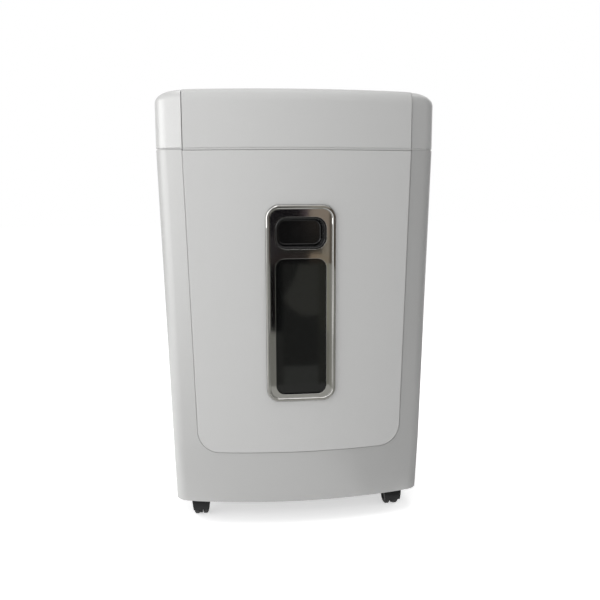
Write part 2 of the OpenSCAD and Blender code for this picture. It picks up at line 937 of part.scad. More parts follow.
gear_hex_w = 10;
shaft_clear = 2;
sync_x = plate_out + 1.5;
drive_x = sync_x + gear_t + 1;
wheel_x = drive_x + gear_t + 2;

function hex_r(w) = w / 2 / cos(30);

module shaft(y, x_end) {
    x_hex = plate_in - shaft_clear;
    color(cutter_steel) {
        along_x(-x_hex, y, cutter_z)
            cylinder(r = hex_r(hex_w), h = 2 * x_hex, $fn = 6);
        along_x(-plate_out - 1, y, cutter_z)
            cylinder(r = journal_r, h = plate_out - plate_in + shaft_clear + 2);
        along_x(x_hex - 1, y, cutter_z)
            cylinder(r = journal_r, h = sync_x - x_hex + 1);
        along_x(sync_x - 1, y, cutter_z)
            cylinder(r = hex_r(gear_hex_w), h = x_end - sync_x + 1, $fn = 6);
    }
}

module shaft_front() {
    shaft(front_y, sync_x + gear_t + 0.5);
}

module shaft_rear() {
    shaft(rear_y, drive_x + gear_t + 1);
}

// Outline of a cutter disc: hook teeth on a round blade.
function disc_outline(phase) =
    [for (k = [0:hooks - 1])
        let (step = 360 / hooks, a = phase + k * step, ramp = step * 0.3)
        each concat(
            [[cutter_r * cos(a), cutter_r * sin(a)],
             [(cutter_r - hook_d) * cos(a + 3), (cutter_r - hook_d) * sin(a + 3)]],
            [for (i = [0:3]) let (b = a + ramp + (step - ramp) * i / 4)
                [cutter_r * cos(b), cutter_r * sin(b)]])];

phase_step = 17;
half_pitch = cutter_pitch / 2;

module cutter_discs(y, x0, turn) {
    color(cutter_steel)
        for (i = [0:cutters - 1])
            along_x(x0 + i * cutter_pitch + (half_pitch - cutter_t) / 2, y, cutter_z)
                linear_extrude(cutter_t)
                    difference() {
                        polygon(disc_outline(turn * i * phase_step));
                        circle(r = hex_r(hex_w + 2 * press_fit), $fn = 6);
                    }
}

module spacer_rings(y, x0) {
    color(steel)
        for (i = [0:cutters - 1])
            along_x(x0 + i * cutter_pitch + (half_pitch - cutter_t) / 2 + cutter_t, y, cutter_z)
                linear_extrude(cutter_pitch - cutter_t)
                    difference() {
                        circle(r = spacer_r, $fn = 12);
                        circle(r = hex_r(hex_w + 2 * press_fit), $fn = 6);
                    }
}

module cutters_front() {
    cutter_discs(front_y, cut_x0, 1);
}

module cutters_rear() {
    cutter_discs(rear_y, cut_x0 + half_pitch, -1);
}

module spacers_front() {
    spacer_rings(front_y, cut_x0);
}

module spacers_rear() {
    spacer_rings(rear_y, cut_x0 - half_pitch);
}

// Stripper comb: a bar on two rods with one finger between every two discs.
comb_play = 0.5;
comb_bar_w = 10;
comb_h = 2 * rod_dz + 12;
finger_h = 22;
module comb(s, y_shaft, x0) {
    finger_t = cutter_pitch - cutter_t - 2 * comb_play;
    y_bar = s * (comb_y - shaft_c / 2);
    reach = spacer_r + 0.7;
    hollow = [for (i = [0:8]) let (a = -60 + 15 * i) [reach * cos(a), reach * sin(a)]];
    finger = concat(
        [for (p = hollow) if (abs(p.y) <= finger_h / 2) p],
        [[abs(y_bar), finger_h / 2], [abs(y_bar), -finger_h / 2]]);
    color(nylon)
        difference() {
            union() {
                translate([-plate_in + seat_gap, y_shaft + y_bar - comb_bar_w / 2, cutter_z - comb_h / 2])
                    cube([2 * (plate_in - seat_gap), comb_bar_w, comb_h]);
                for (i = [0:cutters - 1])
                    translate([x0 + i * cutter_pitch, y_shaft, cutter_z])
                        rotate([90, 0, 90])
                            linear_extrude(finger_t)
                                scale([s, 1])
                                    polygon(finger);
            }
            for (dz = [-rod_dz, rod_dz])
                along_x(-plate_in, y_shaft + y_bar, cutter_z + dz)
                    cylinder(r = rod_r + run_fit, h = 2 * plate_in);
        }
}

// ---- gear train ---------------------------------------------------------------------------------

// Tooth outline: straight flanks over thinned teeth, so that meshing teeth keep a backlash.
function gear_outline(n, m, turn) =
    let (rp = n * m / 2, pitch_a = 360 / n)
    [for (k = [0:n - 1])
        let (a = turn + k * pitch_a)
        for (q = [[-0.36, -1.2], [-0.225, 0], [-0.1, 0.9], [0.1, 0.9], [0.225, 0], [0.36, -1.2]])
            let (r = rp + q[1] * m, b = a + q[0] * pitch_a)
            [r * cos(b), r * sin(b)]];

sync_n = shaft_c / shaft_module;
drive_c = (drive_n + pinion_n) * shaft_module / 2;
motor_c = (wheel_n + motor_n) * motor_module / 2;

// Compound gear axis: its distances from the rear shaft and from the motor are both fixed.
rear_at = [rear_y, cutter_z];
motor_at = [motor_y, motor_z];
span = norm(motor_at - rear_at);
along = (drive_c * drive_c - motor_c * motor_c + span * span) / (2 * span);
aside = sqrt(drive_c * drive_c - along * along);
dir = (motor_at - rear_at) / span;
post_at = rear_at + along * dir + aside * [-dir.y, dir.x];

// Turn angles that put a tooth of one gear into a gap of the next.
drive_dir = atan2(post_at.y - rear_at.y, post_at.x - rear_at.x);
motor_dir = atan2(motor_at.y - post_at.y, motor_at.x - post_at.x);
pinion_turn = drive_dir + 180 + 180 / pinion_n;
motor_turn = motor_dir + 180 + 180 / motor_n;

module gear(x, at, n, m, turn, width) {
    along_x(x, at.x, at.y)
        linear_extrude(width)
            polygon(gear_outline(n, m, turn));
}

module keyed_gear(x, at, n, m, turn) {
    color(steel)
        difference() {
            gear(x, at, n, m, turn, gear_t);
            along_x(x - cut_over, at.x, at.y)
                cylinder(r = hex_r(gear_hex_w + 2 * press_fit), h = gear_t + 2 * cut_over, $fn = 6);
        }
}

module sync_gear_front() {
    keyed_gear(sync_x, [front_y, cutter_z], sync_n, shaft_module, 0);
}

module sync_gear_rear() {
    keyed_gear(sync_x, rear_at, sync_n, shaft_module, 180 + 180 / sync_n);
}

module drive_gear() {
    keyed_gear(drive_x, rear_at, drive_n, shaft_module, drive_dir);
}

gear_post_r = 4;
post_neck_r = 3;
compound_hub_r = 7;

module compound_gear() {
    color(nylon)
        difference() {
            union() {
                gear(drive_x, post_at, pinion_n, shaft_module, pinion_turn, wheel_x - drive_x + 1);
                gear(wheel_x, post_at, wheel_n, motor_module, motor_dir, gear_t);
            }
            along_x(drive_x - cut_over, post_at.x, post_at.y)
                cylinder(r = gear_post_r + run_fit, h = wheel_x - drive_x + gear_t + 2 * cut_over);
        }
}

// Post of the compound gear, riveted in the right plate, with a retaining ring.
module compound_post() {
    ring_x = wheel_x + gear_t + seat_gap;
    color(steel) {
        along_x(plate_in, post_at.x, post_at.y)
            cylinder(r = post_neck_r, h = plate_t + 1);
        along_x(plate_out, post_at.x, post_at.y)
            cylinder(r = gear_post_r, h = ring_x + 2 - plate_out);
        along_x(plate_out, post_at.x, post_at.y)
            cylinder(r = compound_hub_r, h = drive_x - seat_gap - plate_out);
        along_x(ring_x, post_at.x, post_at.y)
            cylinder(r = compound_hub_r, h = 1);
    }
}

// ---- motor --------------------------------------------------------------------------------------

rotor_shaft_r = 4;
rotor_r = 24;
air_gap = 0.6;
bell_t = 9;
motor_x0 = plate_in - motor_l;
fan_t = 9;
fan_x = motor_x0 - fan_t - 2;
fan_r = motor_r - 4;
blades = 8;

module motor_housing() {
    bell_r = motor_r - 3;
    color(steel)
        along_x(motor_x0, motor_y, motor_z)
            rotate_extrude($fn = 64)
                polygon([[rotor_shaft_r + run_fit, 0], [bell_r - 5, 0], [bell_r, 4], [bell_r, bell_t],
                         [motor_r, bell_t], [motor_r, motor_l - bell_t], [bell_r, motor_l - bell_t],
                         [bell_r, motor_l], [rotor_shaft_r + run_fit, motor_l],
                         [rotor_shaft_r + run_fit, motor_l - bell_t],
                         [rotor_r + air_gap, motor_l - bell_t], [rotor_r + air_gap, bell_t],
                         [rotor_shaft_r + run_fit, bell_t]]);
}

module motor_rotor() {
    x_end = wheel_x + gear_t + 1;
    color(cutter_steel) {
        along_x(fan_x - 2, motor_y, motor_z)
            cylinder(r = rotor_shaft_r, h = wheel_x - fan_x + 3);
        along_x(motor_x0 + bell_t + 1, motor_y, motor_z)
            cylinder(r = rotor_r, h = motor_l - 2 * bell_t - 2);
        gear(wheel_x, motor_at, motor_n, motor_module, motor_turn, x_end - wheel_x);
    }
}

// Cooling fan pressed on the free end of the motor shaft.
module motor_fan() {
    color(black)
        along_x(fan_x, motor_y, motor_z)
            difference() {
                union() {
                    cylinder(r = 8, h = fan_t);
                    cylinder(r = fan_r, h = 1.4);
                    for (i = [0:blades - 1])
                        rotate(i * 360 / blades)
                            translate([6, -0.7, 0])
                                cube([fan_r - 7, 1.4, fan_t]);
                }
                translate([0, 0, -cut_over])
                    cylinder(r = rotor_shaft_r + press_fit, h = fan_t + 2 * cut_over);
            }
}

// ---- electrical pieces ---------------------------------------------------------------------------

board_size = [44, 96];
board_gap_side = 2;
board_at = [-plate_out - plate_foot_w - board_size.x - board_gap_side, pan_front_y + 68];
standoff_h = 6;
standoff_r = 2.5;
standoff_in = 5;
transformer = [26, 30, 24];
relay = [8, 26, 16];
terminal = [5.6, 8, 10];
terminals = 4;
terminal_pitch = 7;
sink = [34, 14, 26];
sink_back_t = 4;
sink_fins = 6;
sink_fin_t = 2;

// Board with transformer, relay, terminal strip and finned heat sink.
module power_board() {
    z = tray_floor + standoff_h;
    sink_step = (sink.x - sink_fin_t) / (sink_fins - 1);
    color(board_green)
        translate([board_at.x, board_at.y, 0]) {
            translate([0, 0, z])
                cube([board_size.x, board_size.y, board_t]);
            for (x = [standoff_in, board_size.x - standoff_in])
                for (y = [standoff_in, board_size.y - standoff_in])
                    translate([x, y, tray_floor])
                        cylinder(r = standoff_r, h = standoff_h + board_t / 2);
            board_block([6, 12], z, transformer);
            board_block([34, 16], z, relay);
            for (i = [0:terminals - 1])
                board_block([9 + i * terminal_pitch, 84], z, terminal);
            board_block([5, 52], z, [sink.x, sink_back_t, sink.z]);
            for (i = [0:sink_fins - 1])
                board_block([5 + i * sink_step, 52], z, [sink_fin_t, sink.y, sink.z]);
        }
}

module board_block(at, z, size) {
    translate([at.x, at.y, z + board_t / 2])
        cube(size);
}

capacitor_r = 16;
capacitor_h = 58;
capacitor_at = [-plate_out - plate_foot_w - capacitor_r - 6, back_y - 64];
module run_capacitor() {
    color("#c4c7c9")
        translate([capacitor_at.x, capacitor_at.y, tray_floor]) {
            cylinder(r = capacitor_r, h = capacitor_h);
            for (s = [-1, 1])
                translate([s * 5 - 0.4, -3, capacitor_h - cut_over])
                    cube([0.8, 6, 7]);
        }
}

// Rim of the bin, which the safety switch feels.
rim_out = 1.8;
rim_h = 5;

// Safety switch behind the bin. The closed bin holds its plunger in.
switch_x = centre_half - 48;
switch_z1 = tray_floor - pan_t;
switch_z0 = bin_top - 10;
plunger_w = 4;
plunger_h = 5;
plunger_z = bin_top - rim_h / 2;
switch_y0 = back_y - wall - seat_gap - 11;

module interlock_switch() {
    color(black)
        difference() {
            translate([switch_x - 10, switch_y0, switch_z0])
                cube([20, 11, switch_z1 - switch_z0]);
            translate([switch_x - plunger_w / 2 - run_fit, switch_y0 - cut_over,
                       plunger_z - plunger_h / 2 - run_fit])
                cube([plunger_w + 2 * run_fit, 8 + cut_over, plunger_h + 2 * run_fit]);
        }
}

module interlock_plunger() {
    y0 = bin_back + rim_out + seat_gap;
    color("#b8322b")
        translate([switch_x - plunger_w / 2, y0, plunger_z - plunger_h / 2])
            cube([plunger_w, switch_y0 + 7 - y0, plunger_h]);
}

rocker_w = 15;
rocker_h = 27;
rocker_play = 0.4;
rocker_wall = 1.6;
rocker_frame_y = back_y - rear_depth;
rocker_pivot_y = rocker_frame_y - 1.5;
rocker_tilt = 8;

module rocker_housing() {
    color(black)
        difference() {
            union() {
                translate([rocker_x - rocker_w / 2 - 2, rocker_frame_y, rear_z - rocker_h / 2 - 2])
                    cube([rocker_w + 4, 2, rocker_h + 4]);
                translate([rocker_x - rocker_w / 2, rocker_frame_y - 18, rear_z - rocker_h / 2])
                    cube([rocker_w, 19, rocker_h]);
            }
            translate([rocker_x - rocker_w / 2 + rocker_wall, rocker_frame_y - 10,
                       rear_z - rocker_h / 2 + rocker_wall])
                cube([rocker_w - 2 * rocker_wall, 14, rocker_h - 2 * rocker_wall]);
            translate([rocker_x - rocker_w / 2 - cut_over, rocker_pivot_y, rear_z])
                rotate([0, 90, 0])
                    cylinder(r = 1.2 + run_fit, h = rocker_w + 2 * cut_over, $fn = 24);
        }
}

// Rocker key, drawn in its off position.
module rocker_key() {
    key_w = rocker_w - 2 * rocker_wall - 2 * rocker_play;
    half = rocker_h / 2 - rocker_wall - 1.6;
    color("#2a2a2c")
        translate([rocker_x, rocker_pivot_y, rear_z]) {
            rotate([-rocker_tilt, 0, 0])
                rotate([90, 0, 90])
                    linear_extrude(key_w, center = true)
                        polygon([[-4, -5], [0, -half], [5.5, -half], [4.2, 0], [5.5, half],
                                 [0, half], [-4, 5]]);
            rotate([0, 90, 0])
                cylinder(r = 1.2, h = rocker_w, center = true, $fn = 24);
        }
}

gland_r = 8;
gland_bore_r = 3.9;
module cord_gland() {
    color(black)
        translate([gland_x, rocker_frame_y, rear_z])
            rotate([-90, 0, 0])
                rotate_extrude()
                    polygon([[gland_bore_r, -12], [gland_r - 1.5, -12], [gland_r, -10],
                             [gland_r, 0], [gland_r + 2.5, 0], [gland_r + 2.5, 1.5],
                             [gland_r + 1, 3.5], [gland_bore_r, 3.5]]);
}

// ---- drawer: door, bezel and bin -----------------------------------------------------------------

door_top = seam_z - seam_gap / 2;
function door_ring(z, off) =
    [z, plan(body_hw(z) + door_proud - off, door_y + off, back_y,
             front_r - off, corner_r + door_proud - off, back_r)];
module door_layer(off0, off1) {
    difference() {
        loft([door_ring(sill_z - cut_over, off0), door_ring(door_top + cut_over, off0)]);
        loft([door_ring(sill_z - 2 * cut_over, off1), door_ring(door_top + 2 * cut_over, off1)]);
    }
}

front_prism_depth = 60;
module front_prism(z_top, inset) {
    facing_front(bezel_y + front_prism_depth)
        linear_extrude(front_prism_depth + cut_over)
            polygon(door_outline(z_top, inset));
}

rim_t = 2.4;
bezel_back = door_y + 2.2;
door_sag = front_r - sqrt(front_r * front_r - bezel_w * bezel_w / 4);
backing_front = door_y + door_t + door_sag + seat_gap;
backing_t = 2.5;
ledge = 7;
bezel_screw_x = bezel_w / 2 - ledge / 2;
bezel_screw_zs = [bezel_z0 + 30, bezel_mid, bezel_z1 - 30];
bezel_screw_r = 1.2;

// Rounded prism in the XZ plane between two depths.
module face_block(w, z0, z1, r, y0, y1) {
    translate([0, y1, (z0 + z1) / 2])
        rotate([90, 0, 0])
            linear_extrude(y1 - y0)
                polygon(rounded(w, z1 - z0, r));
}

module door_panel() {
    color(door_white)
        difference() {
            union() {
                intersection() {
                    door_layer(0, door_t);
                    front_prism(door_top, 0);
                }
                intersection() {
                    door_layer(door_t - cut_over, door_t + door_rim);
                    difference() {
                        front_prism(door_top, 0);
                        front_prism(door_top - rim_t, rim_t);
                    }
                }
            }
            face_block(bezel_w + 2 * press_fit, bezel_z0 - press_fit, bezel_z1 + press_fit,
                       bezel_r, bezel_y, bezel_back);
            face_block(bezel_w - 2 * ledge, bezel_z0 + ledge, bezel_z1 - ledge,
                       bezel_r - ledge / 2, bezel_y, frame_y + 10);
            for (s = [-1, 1]) for (z = bezel_screw_zs)
                translate([s * bezel_screw_x, frame_y + 10, z])
                    rotate([90, 0, 0])
                        cylinder(r = bezel_screw_r + press_fit, h = 20, $fn = 24);
        }
}

bezel_t = bezel_back - bezel_y;
flange_drop = 1.4;

// Ring of the bezel at a height above its back face.
function bezel_ring(h, inset) =
    [h, rounded(bezel_w - 2 * inset, bezel_h - 2 * inset, bezel_r - inset)];
function opening_rings(w, h, r) =
    [[-cut_over, rounded(w, h, r)],
     [bezel_t - flange_drop - 1, rounded(w, h, r)],
     [bezel_t - flange_drop + 0.01, rounded(w + 1.6, h + 1.6, r + 0.8)]];

module window_bezel() {
    color(chrome)
        translate([0, bezel_back, bezel_mid])
            rotate([90, 0, 0])
                difference() {
                    loft([bezel_ring(0, 0), bezel_ring(bezel_t - 1.6, 0), bezel_ring(bezel_t - 0.5, 0.6),
                          bezel_ring(bezel_t, 1.8)]);
                    loft([bezel_ring(bezel_t - flange_drop, bead_w),
                          bezel_ring(bezel_t + 0.2, bead_w - 2.4)]);
                    translate([0, (pocket_z0 + pocket_z1) / 2 - bezel_mid, 0])
                        loft(opening_rings(window_w, pocket_z1 - pocket_z0, window_r));
                    translate([0, (window_z0 + window_z1) / 2 - bezel_mid, 0])
                        loft(opening_rings(window_w, window_z1 - window_z0, window_r));
                    for (s = [-1, 1]) for (z = bezel_screw_zs)
                        translate([s * bezel_screw_x, z - bezel_mid, -cut_over])
                            cylinder(r = bezel_screw_r + press_fit, h = 2.5 + cut_over, $fn = 24);
                }
}

seat_w = 3.5;
cup_t = 2;
cup_play = 0.5;
pane_w = window_w + 2 * seat_w;

module handle_pocket() {
    cup_back = bezel_back + pocket_d;
    color(black)
        difference() {
            union() {
                face_block(pane_w, pocket_z0 - seat_w, pocket_z1 + seat_w, window_r + seat_w,
                           bezel_back, backing_front);
                face_block(window_w + 2 * cup_t, pocket_z0 - cup_t, pocket_z1 + cup_t,
                           window_r + cup_t, bezel_back + 1, cup_back);
            }
            face_block(window_w, pocket_z0, pocket_z1, window_r, bezel_back - cut_over,
                       cup_back - cup_t);
        }
}

module window_pane() {
    color(smoke)
        face_block(pane_w, window_z0 - seat_w, window_z1 + seat_w, window_r + seat_w,
                   bezel_back, backing_front);
}

module bezel_backing() {
    color(black)
        difference() {
            face_block(bezel_w, bezel_z0, bezel_z1, bezel_r, backing_front, backing_front + backing_t);
            face_block(window_w + 2, window_z0 - 1, window_z1 + 1, window_r,
                       backing_front - cut_over, backing_front + backing_t + cut_over);
            face_block(window_w + 2 * (cup_t + cup_play), pocket_z0 - cup_t - cup_play,
                       pocket_z1 + cup_t + cup_play, window_r + cup_t,
                       backing_front - cut_over, backing_front + backing_t + cut_over);
            for (s = [-1, 1]) for (z = bezel_screw_zs)
                translate([s * bezel_screw_x, backing_front + backing_t + cut_over, z])
                    rotate([90, 0, 0])
                        cylinder(r = bezel_screw_r + press_fit, h = backing_t + 2 * cut_over, $fn = 24);
        }
}

module bezel_screws() {
    y = backing_front + backing_t;
    color(steel)
        for (s = [-1, 1]) for (z = bezel_screw_zs)
            translate([s * bezel_screw_x, y, z])
                rotate([90, 0, 0]) {
                    cylinder(r = bezel_screw_r, h = y - bezel_back + 2.2, $fn = 24);
                    translate([0, 0, -1.4])
                        cylinder(r = 2.4, h = 1.4, $fn = 24);
                }
}

skid_z = shelf_top + guide_base + seat_gap;
bin_back = back_y - wall - bin_back_gap;
bin_r = 26;
skid_w = 5;
function bin_ring(z, off) =
    [z, plan(side_x(z, bin_side_gap) - off, door_y + door_t + seat_gap + off, bin_back - off,
             front_r - door_t - off, bin_r - off, bin_r - off)];

// Outer or inner form of the bin. Its section follows the door opening, so it passes through.
module bin_form(off, z_top) {
    intersection() {
        loft([bin_ring(sill_z - cut_over, off), bin_ring(z_top, off)]);
        facing_front(back_y)
            linear_extrude(overall_d)
                polygon(door_outline(z_top + cut_over, bin_side_gap + off));
    }
}

module bin_tub() {
    skid_y0 = front_rim_y + 20;
    color(bin_grey)
        difference() {
            union() {
                bin_form(0, bin_top);
                intersection() {
                    loft([bin_ring(bin_top - rim_h, -rim_out), bin_ring(bin_top, -rim_out)]);
                    translate([-overall_w / 2, front_rim_y, sill_z])
                        cube([overall_w, overall_d, bin_top]);
                }
                for (s = [-1, 1])
                    translate([s * (guide_x - guide_t - seat_gap - skid_w / 2) - skid_w / 2,
                               skid_y0, skid_z])
                        cube([skid_w, bin_back - skid_y0 - 20, sill_z + bin_side_gap - skid_z + 1]);
            }
            bin_form(bin_wall, bin_top + cut_over);
            face_block(bezel_w + 6, bezel_z0 - 3, bezel_z1 + 3, bezel_r, bezel_y, front_rim_y);
        }
}
front_rim_gap = 8;
front_rim_y = door_y + door_t + door_rim + front_rim_gap;

// ---- assembly ------------------------------------------------------------------------------------

comb_x0 = cut_x0 + (half_pitch + cutter_t) / 2 + comb_play;

module comb_front() {
    comb(-1, front_y, comb_x0);
}

module comb_rear() {
    comb(1, rear_y, comb_x0 - half_pitch);
}

cabinet_shell();
base_tray();
bin_shelf();
bin_guides();
chassis_screws();
head_tray();
head_centre_cover();
head_cap_left();
head_cap_right();
feed_throat();
control_panel();
indicator_lenses();
button_start();
button_stop();
button_reverse();
button_board();
side_plate_left();
side_plate_right();
tie_rods();
shaft_bushings();
shaft_front();
shaft_rear();
cutters_front();
cutters_rear();
spacers_front();
spacers_rear();
comb_front();
comb_rear();
sync_gear_front();
sync_gear_rear();
drive_gear();
compound_gear();
compound_post();
motor_housing();
motor_rotor();
motor_fan();
power_board();
run_capacitor();
interlock_switch();
interlock_plunger();
rocker_housing();
rocker_key();
cord_gland();
door_panel();
window_bezel();
handle_pocket();
window_pane();
bezel_backing();
bin_tub();
bezel_screws();
caster_sockets();
caster_swivel(stems[0]);  // caster_fl_swivel
caster_wheels(stems[0]);  // caster_fl_wheels
caster_swivel(stems[1]);  // caster_fr_swivel
caster_wheels(stems[1]);  // caster_fr_wheels
caster_swivel(stems[2]);  // caster_bl_swivel
caster_wheels(stems[2]);  // caster_bl_wheels
caster_swivel(stems[3]);  // caster_br_swivel
caster_wheels(stems[3]);  // caster_br_wheels
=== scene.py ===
import json
import math

import bmesh
import bpy
from bpy.props import FloatProperty, FloatVectorProperty, IntProperty, PointerProperty
from mathutils import Matrix, Vector

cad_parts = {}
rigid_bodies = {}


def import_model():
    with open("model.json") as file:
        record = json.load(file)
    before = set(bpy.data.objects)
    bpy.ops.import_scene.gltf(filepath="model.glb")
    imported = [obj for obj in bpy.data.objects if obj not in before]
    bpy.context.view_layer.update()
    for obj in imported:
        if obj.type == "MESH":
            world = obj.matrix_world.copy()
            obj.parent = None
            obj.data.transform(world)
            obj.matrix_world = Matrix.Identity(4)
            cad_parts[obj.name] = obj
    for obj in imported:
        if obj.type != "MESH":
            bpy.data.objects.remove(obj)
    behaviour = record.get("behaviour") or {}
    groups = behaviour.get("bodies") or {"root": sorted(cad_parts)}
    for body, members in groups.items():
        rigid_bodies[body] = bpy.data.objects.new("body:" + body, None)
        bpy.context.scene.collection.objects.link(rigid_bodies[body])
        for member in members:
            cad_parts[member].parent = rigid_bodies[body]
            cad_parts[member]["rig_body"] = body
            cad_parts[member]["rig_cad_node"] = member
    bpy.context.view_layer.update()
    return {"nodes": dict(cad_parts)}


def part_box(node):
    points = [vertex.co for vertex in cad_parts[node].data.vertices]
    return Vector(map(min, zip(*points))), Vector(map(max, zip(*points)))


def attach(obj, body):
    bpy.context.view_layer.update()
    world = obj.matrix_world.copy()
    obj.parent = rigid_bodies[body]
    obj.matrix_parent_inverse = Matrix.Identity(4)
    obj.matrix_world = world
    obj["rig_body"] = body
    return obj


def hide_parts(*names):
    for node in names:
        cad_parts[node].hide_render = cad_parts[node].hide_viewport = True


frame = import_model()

bl_info = {
    "name": "Paper Shredder",
    "version": (1, 0, 0),
    "blender": (4, 5, 0),
    "location": "View3D > Sidebar > Shredder",
    "description": "Builds the covers, door, bezel, bin, controls and casters of a paper shredder",
    "category": "Object",
}

MM = 0.001


# ---- sizes read from the frame -----------------------------------------------------------------

def span(node):
    """Lowest and highest corner of a CAD node, in mm."""
    low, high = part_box(node)
    return low / MM, high / MM


def reach(node, top):
    """Largest distance from the centre plane that a CAD node has below a height, in mm."""
    return max(abs(v.co.x) for v in frame["nodes"][node].data.vertices if v.co.z < top * MM) / MM


SHELL_LOW, SHELL_HIGH = span("cabinet_shell")
HEAD_LOW, HEAD_HIGH = span("head_centre_cover")
DOOR_LOW, DOOR_HIGH = span("door_panel")
BEZEL_LOW, BEZEL_HIGH = span("window_bezel")
CUP_LOW, CUP_HIGH = span("handle_pocket")
THROAT_LOW, THROAT_HIGH = span("feed_throat")
PANEL_LOW, PANEL_HIGH = span("control_panel")
ROCKER_LOW, ROCKER_HIGH = span("rocker_housing")
GLAND_LOW, GLAND_HIGH = span("cord_gland")

SKIRT_Z = SHELL_LOW.z
SEAM_Z = SHELL_HIGH.z
SEAM_HALF = SHELL_HIGH.x
SKIRT_HALF = reach("cabinet_shell", SKIRT_Z + 0.5)
BACK_Y = SHELL_HIGH.y
COVER_Z = HEAD_LOW.z
TOP_Z = HEAD_HIGH.z
SPLIT_X = HEAD_HIGH.x
DOOR_Y = DOOR_LOW.y
SILL_Z = DOOR_LOW.z
BEZEL_W = BEZEL_HIGH.x - BEZEL_LOW.x
BEZEL_H = BEZEL_HIGH.z - BEZEL_LOW.z
BEZEL_MID = (BEZEL_HIGH.z + BEZEL_LOW.z) / 2
SWITCH_X = (ROCKER_LOW.x + ROCKER_HIGH.x) / 2
SWITCH_Z = (ROCKER_LOW.z + ROCKER_HIGH.z) / 2
GLAND_X = (GLAND_LOW.x + GLAND_HIGH.x) / 2


# ---- small fixed sizes, in mm ------------------------------------------------------------------

BODY_ROWS = (75, 100, SILL_Z, 128, 200, 300, 400, 480)  # heights of the cabinet's rows of faces
HEEL_STEPS = 8

LIP_LAP = 0.4         # the door opening's lip starts inside the cabinet wall
LIP_DEPTH = 10
LIP_RISE = 20         # height of the lip's lower edge over the skirt
LIP_W = 2.2

COVER_WALL = 3.0
CORNER_GROWTH = 8     # how much the corners widen from the sides of the head to its flat top
HEEL_GROWTH = 6
CAP_GAP = 1.2         # between the centre cover and an end cap
TONGUE_WALL = 1.7
TONGUE_SLIP = 0.3     # between a cap and the tongue behind it
TONGUE_IN = 8         # reach of a tongue behind the centre cover
TONGUE_OUT = 4
SEAM_FACE = 1.2       # how far the seam's step stands back from the skin
SEAM_BACK = 2.0
CUT = 5               # how far a cutting tool passes its work

RECESS_SIZE = (104, 42)
RECESS_SIDE = 22      # from the switch to the middle of the recess
RECESS_DEPTH = 7
RECESS_WALL = 3
SWITCH_HOLE = (15.1, 27.1)
GLAND_HOLE = 16.1
AIR_SLOT = (3.6, 34)
AIR_SLOTS = 9
AIR_FIRST = 21.8      # from the middle of the head to the first slot
AIR_PITCH = 9

SEAT_FIT = 0.6        # room that a seat has over its part
THROAT_RIM = 7.4      # both sides of the throat's flange
PANEL_RIM = 4

DOOR_WALL = 2.4
DOOR_SKIN = 3.0
DOOR_RIM = 15.0       # depth of the door's rim
BEND_HALF = 155       # the door is bent over this half width, in rows of BEND_STEP
BEND_STEP = 5
BEZEL_GAP = 0.4       # dark gap between the bezel and its seat
BEAD_RISE = 2.4


# ---- settings ----------------------------------------------------------------------------------

class CabinetSettings(bpy.types.PropertyGroup):
    """Form of the cabinet and the head covers"""
    bow: FloatProperty(name="Front bow", description="Radius of the bowed front in plan, in mm",
                       default=650.0, min=400.0, max=1500.0)
    corner: FloatProperty(name="Front corners", description="Radius of the front corners, in mm",
                          default=22.0, min=12.0, max=40.0)
    heel: FloatProperty(name="Back corners", description="Radius of the back corners, in mm",
                        default=12.0, min=6.0, max=30.0)
    wall: FloatProperty(name="Wall", description="Thickness of the cabinet wall, in mm",
                        default=3.2, min=2.0, max=5.0)
    chin: FloatProperty(name="Chin", description="Setback of the front at the skirt, in mm",
                        default=5.0, min=0.0, max=12.0)
    top_round: FloatProperty(name="Top round", description="Height of the rounded top edge, in mm",
                             default=18.0, min=8.0, max=30.0)
    top_side: FloatProperty(name="Top reach, sides", default=28.0, min=10.0, max=40.0,
                            description="Reach of the round on the sides, in mm")
    top_front: FloatProperty(name="Top reach, front", default=12.0, min=5.0, max=20.0,
                             description="Reach of the round at the front, in mm")
    top_back: FloatProperty(name="Top reach, back", default=8.0, min=4.0, max=15.0,
                            description="Reach of the round at the back, in mm")
    edge: FloatProperty(name="Edge radius", description="Radius of moulded edges, in mm",
                        default=0.6, min=0.2, max=1.5)
    bow_steps: IntProperty(name="Bow steps", description="Steps along the bowed front",
                           default=56, min=16, max=128)
    corner_steps: IntProperty(name="Corner steps", description="Steps round each corner",
                              default=14, min=6, max=32)


